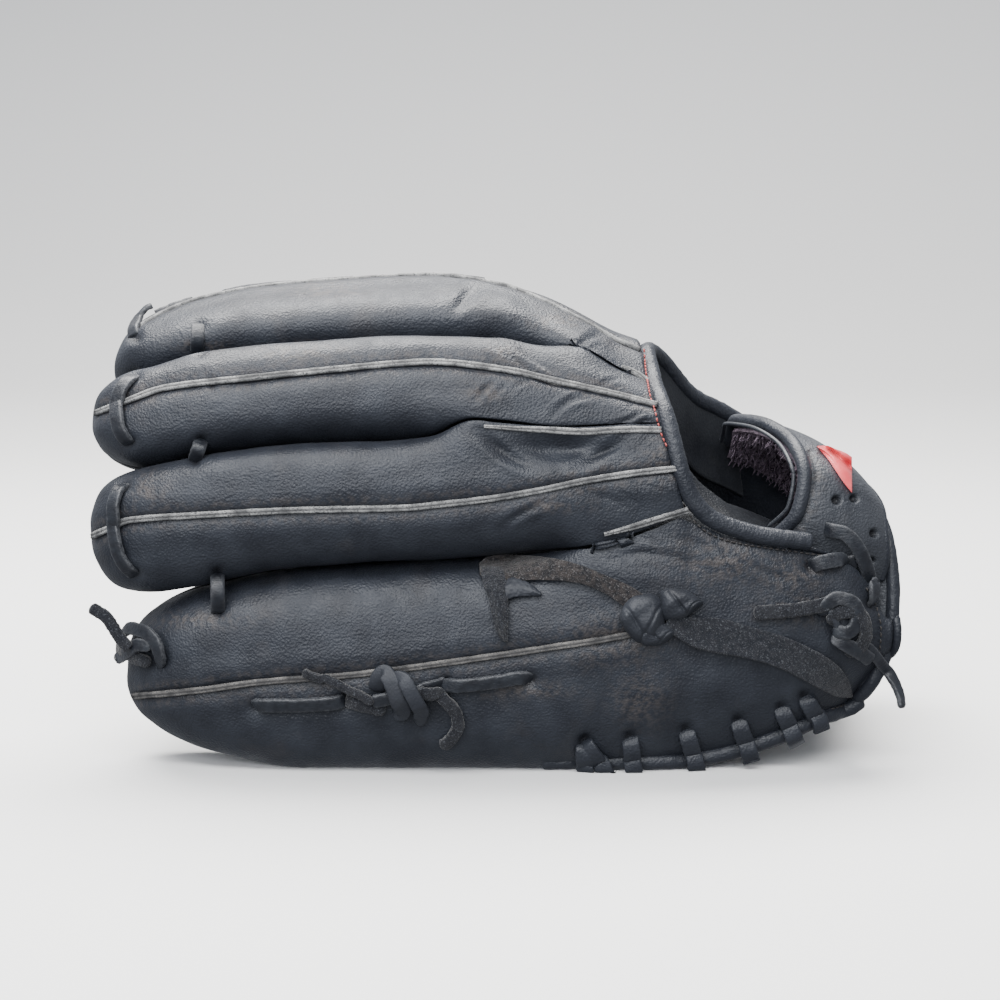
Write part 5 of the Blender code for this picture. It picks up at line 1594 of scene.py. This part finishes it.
for i, (node, (start, end)) in enumerate(LINKS):
    a, b = [fill_gaps([hit(near, EYE, sight(*place))])[0] for place in (start, end)]
    first, last = EYE + sight(*start) * a[0], EYE + sight(*end) * b[0]
    out = -sight(*start)
    points, normals = [], []
    for j in range(25):
        t = j / 24
        bow = math.sin(math.pi * t)
        points.append(first.lerp(last, t) + out * (0.0036 * bow + 0.0004))
        normals.append((out + (first - last).normalized() * (0.9 * math.cos(math.pi * t))).normalized())
    band("glove_" + node, points, normals, 0.0054, 0.0021, LACE, (node,), rough=0.05, seed=i * 4.0)

# The lace that stands off the little finger's tip hangs free, at its knot's depth
TIP_TAIL = ((90, 607, 0), (97, 611, 0), (106, 617, 0), (113, 627, 0), (120, 638, 0), (129, 648, 0))
points = [at_depth(px, py, FREE_DEPTH) for px, py, _ in spline(TIP_TAIL, 60)]
normals = [Vector((0.25, -1.0, 0.35 * math.sin(i * 0.08))).normalized() for i in range(len(points))]
band("tip_tail_lace", points, normals, 0.0046, 0.0025, LACE_RAW, ("tip_tail",), rough=0.14, taper_ends=(True, False))

# The wide tie, with its knot


def strip_lift(u, v):
    """The tie lies off the leather, arched across and raised near its end."""
    return 2.6 + 0.5 * math.cos(2.2 * v) + 0.9 * math.exp(-((u - 0.93) / 0.08) ** 2)


form("tie_long", TIE_LONG_UPPER, TIE_LONG_LOWER, strip_lift, lambda u, v: 2.2, near, SUEDE, ("tie_tail_long",),
     rough=0.00035, seed=2.0, taut=10)
form("tie_end", TIE_END_LEFT, TIE_END_RIGHT, lambda u, v: 3.0 + 1.4 * (1.0 - u) + 0.8 * math.cos(3.0 * v),
     lambda u, v: 2.2, near, LACE_RAW, (), rough=0.00050, seed=5.0, taut=10)
form("tie_flap", TIE_FLAP_UPPER, TIE_FLAP_LOWER, lambda u, v: 2.6 - 1.2 * u + 1.2 * math.cos(1.5 * v),
     lambda u, v: 1.8, near, KNOT_LEATHER, (), rough=0.0004, seed=8.0, rows=30)
form("tie_wide", TIE_WIDE_UPPER, TIE_WIDE_LOWER,
     lambda u, v: 2.6 + 0.5 * v * v + 1.2 * math.exp(-(u / 0.10) ** 2), lambda u, v: 2.3, near, SUEDE_GREY,
     ("tie_tail_wide",), rough=0.00035, seed=11.0, taut=10)
for i, (name, nodes, tall, upper, lower) in enumerate(KNOT_LOBES):
    def lobe_lift(u, v, tall=tall):
        dome = max(0.0, 1.0 - abs(v) ** 2.6) ** 0.45 * max(0.0, 1.0 - abs(2.0 * u - 1.0) ** 3.4) ** 0.45
        crease = (math.exp(-((u - 0.42 - 0.22 * v) / 0.045) ** 2)
                  + 0.7 * math.exp(-((u - 0.78 + 0.30 * v) / 0.04) ** 2))
        return 0.8 + tall * dome * (1.0 - 0.17 * crease + 0.05 * math.sin(9.0 * u + 5.0 * v))

    def lobe_wall(u, v, tall=tall):
        return lobe_lift(u, v, tall) + 0.3
    form(name, upper, lower, lobe_lift, lobe_wall, near, KNOT_LEATHER, nodes, columns=36, rows=48, taut=16,
         rough=0.00022, seed=20.0 + i * 3.0)

# Stitches beside the bindings
RED_SEAM = ((643.5, 352), (645, 371), (649, 394), (656, 417), (660.5, 433), (668, 450))
DARK_SEAM = ((668, 450), (673, 466), (679, 488), (684, 507), (697, 525), (718, 538), (745, 545), (775, 549.5),
             (802, 553), (826, 557), (840, 566))
HEEL_SEAM = ((866, 590), (876, 610), (880, 632), (878, 655), (870, 680), (852, 700), (830, 708))
for name, line, paint, pitch, held in (("red_stitches", RED_SEAM, THREAD_RED, 0.0021, trees[RING:THUMB]),
                                       ("dark_stitches", DARK_SEAM, THREAD_DARK, 0.0024, trees[LITTLE:MIDDLE]),
                                       ("heel_stitches", HEEL_SEAM, THREAD_DARK, 0.0025, trees[LITTLE:RING])):
    points, normals = trail([place + (0.4,) for place in line], held, 200, 3)
    stitches(name, stitch_runs(points, normals, pitch), paint)

# The strands of the web that show above the index finger: name, width in mm, material, and their two ends
WEB_STRANDS = (("web_strand_tip", 5.0, LACE, 155, 191), ("web_strand_front", 5.5, KNOT_LEATHER, 222, 290),
               ("web_strand_middle", 5.0, KNOT_LEATHER, 298, 352), ("web_strand_rear", 5.5, KNOT_LEATHER, 430, 484))
CREST_DEPTH = 0.055
CREST_FAR = 0.062


def crest(px):
    """The point of the index finger that stands highest in the picture at a place across it."""
    x = (px - PICTURE / 2.0) / ZOOM * (DISTANCE + CREST_DEPTH) + EYE.x
    best = None
    for i in range(60):
        start = Vector((x, mix(0.0, CREST_FAR, i / 59), 0.3))
        found = hit(trees[INDEX:THUMB], start, Vector((0.0, 0.0, -1.0)))
        if found is not None:
            point = Vector((start.x, start.y, start.z - found[0]))
            height = (point - EYE).dot(UP) / (point - EYE).dot(FORWARD)
            if best is None or height > best[0]:
                best = (height, point)
    return best[1]


for name, width, paint, left, right in WEB_STRANDS:
    points, normals = [], []
    for i in range(41):
        points.append(crest(mix(left, right, i / 40)) + Vector((0.0, 0.0030, -0.0004)))
        normals.append(Vector((0.0, 0.25, 0.97)))
    band(name, smoothed(points, 8), normals, width * MM, 0.0024, paint, rough=0.06)


# The stage, the light and the camera

def stage_paint(name, colour, rough):
    paint = Paint(name)
    paint.bump(paint.noise(900.0, 3.0), 0.00005, 0.4)
    return paint.finish(colour, rough, 0.3)


SWEEP = ((-1.8, 0.0), (-0.4, 0.0), (0.80, 0.0), (1.15, 0.02), (1.38, 0.09), (1.54, 0.22), (1.62, 0.42), (1.65, 0.70),
         (1.66, 1.4), (1.66, 2.2))
profile_rows = spline([(y, z, 0.0) for y, z in SWEEP], 90)
rows = [[Vector((x, y, z)) for x in (-2.4, -1.2, 0.0, 1.2, 2.4)] for y, z, _ in profile_rows]
bm = grid_bmesh(rows)
mesh = bpy.data.meshes.new("backdrop")
bm.to_mesh(mesh)
bm.free()
backdrop = bpy.data.objects.new("backdrop", mesh)
bpy.context.scene.collection.objects.link(backdrop)
mesh.materials.append(stage_paint("backdrop_paper", (0.90, 0.895, 0.885, 1.0), 0.75))
mesh.shade_smooth()
# The paper would light the leather from below as no matt floor does in the photograph
backdrop.visible_glossy = False
backdrop.visible_diffuse = False


def area_light(name, place, aim, size, power, colour):
    data = bpy.data.lights.new(name, "AREA")
    data.shape = "RECTANGLE"
    data.size, data.size_y = size
    data.energy = power
    data.color = colour
    lamp = bpy.data.objects.new(name, data)
    lamp.location = place
    lamp.rotation_euler = (Vector(aim) - Vector(place)).to_track_quat("-Z", "Y").to_euler()
    bpy.context.scene.collection.objects.link(lamp)


area_light("overhead", (-0.12, 0.40, 1.02), (0.0, 0.02, 0.05), (1.2, 0.75), 46.0, (1.0, 0.99, 0.97))
area_light("front_top", (-0.15, -0.55, 0.95), (0.0, 0.0, 0.10), (1.5, 0.35), 17.0, (0.98, 0.99, 1.0))
area_light("front_fill", (-0.5, -1.5, 0.75), (0.0, 0.0, 0.08), (1.8, 1.0), 25.0, (0.92, 0.95, 1.0))
world = bpy.data.worlds.new("studio")
world.use_nodes = True
world.node_tree.nodes["Background"].inputs["Color"].default_value = (0.86, 0.89, 0.95, 1.0)
world.node_tree.nodes["Background"].inputs["Strength"].default_value = 0.46
bpy.context.scene.world = world

camera = bpy.data.objects.new("camera", bpy.data.cameras.new("camera"))
camera.data.lens = LENS
camera.data.sensor_width = SENSOR
camera.data.clip_start = 0.01
camera.data.clip_end = 20.0
camera.location = EYE
camera.rotation_euler = FORWARD.to_track_quat("-Z", "Y").to_euler()
bpy.context.scene.collection.objects.link(camera)
bpy.context.scene.camera = camera
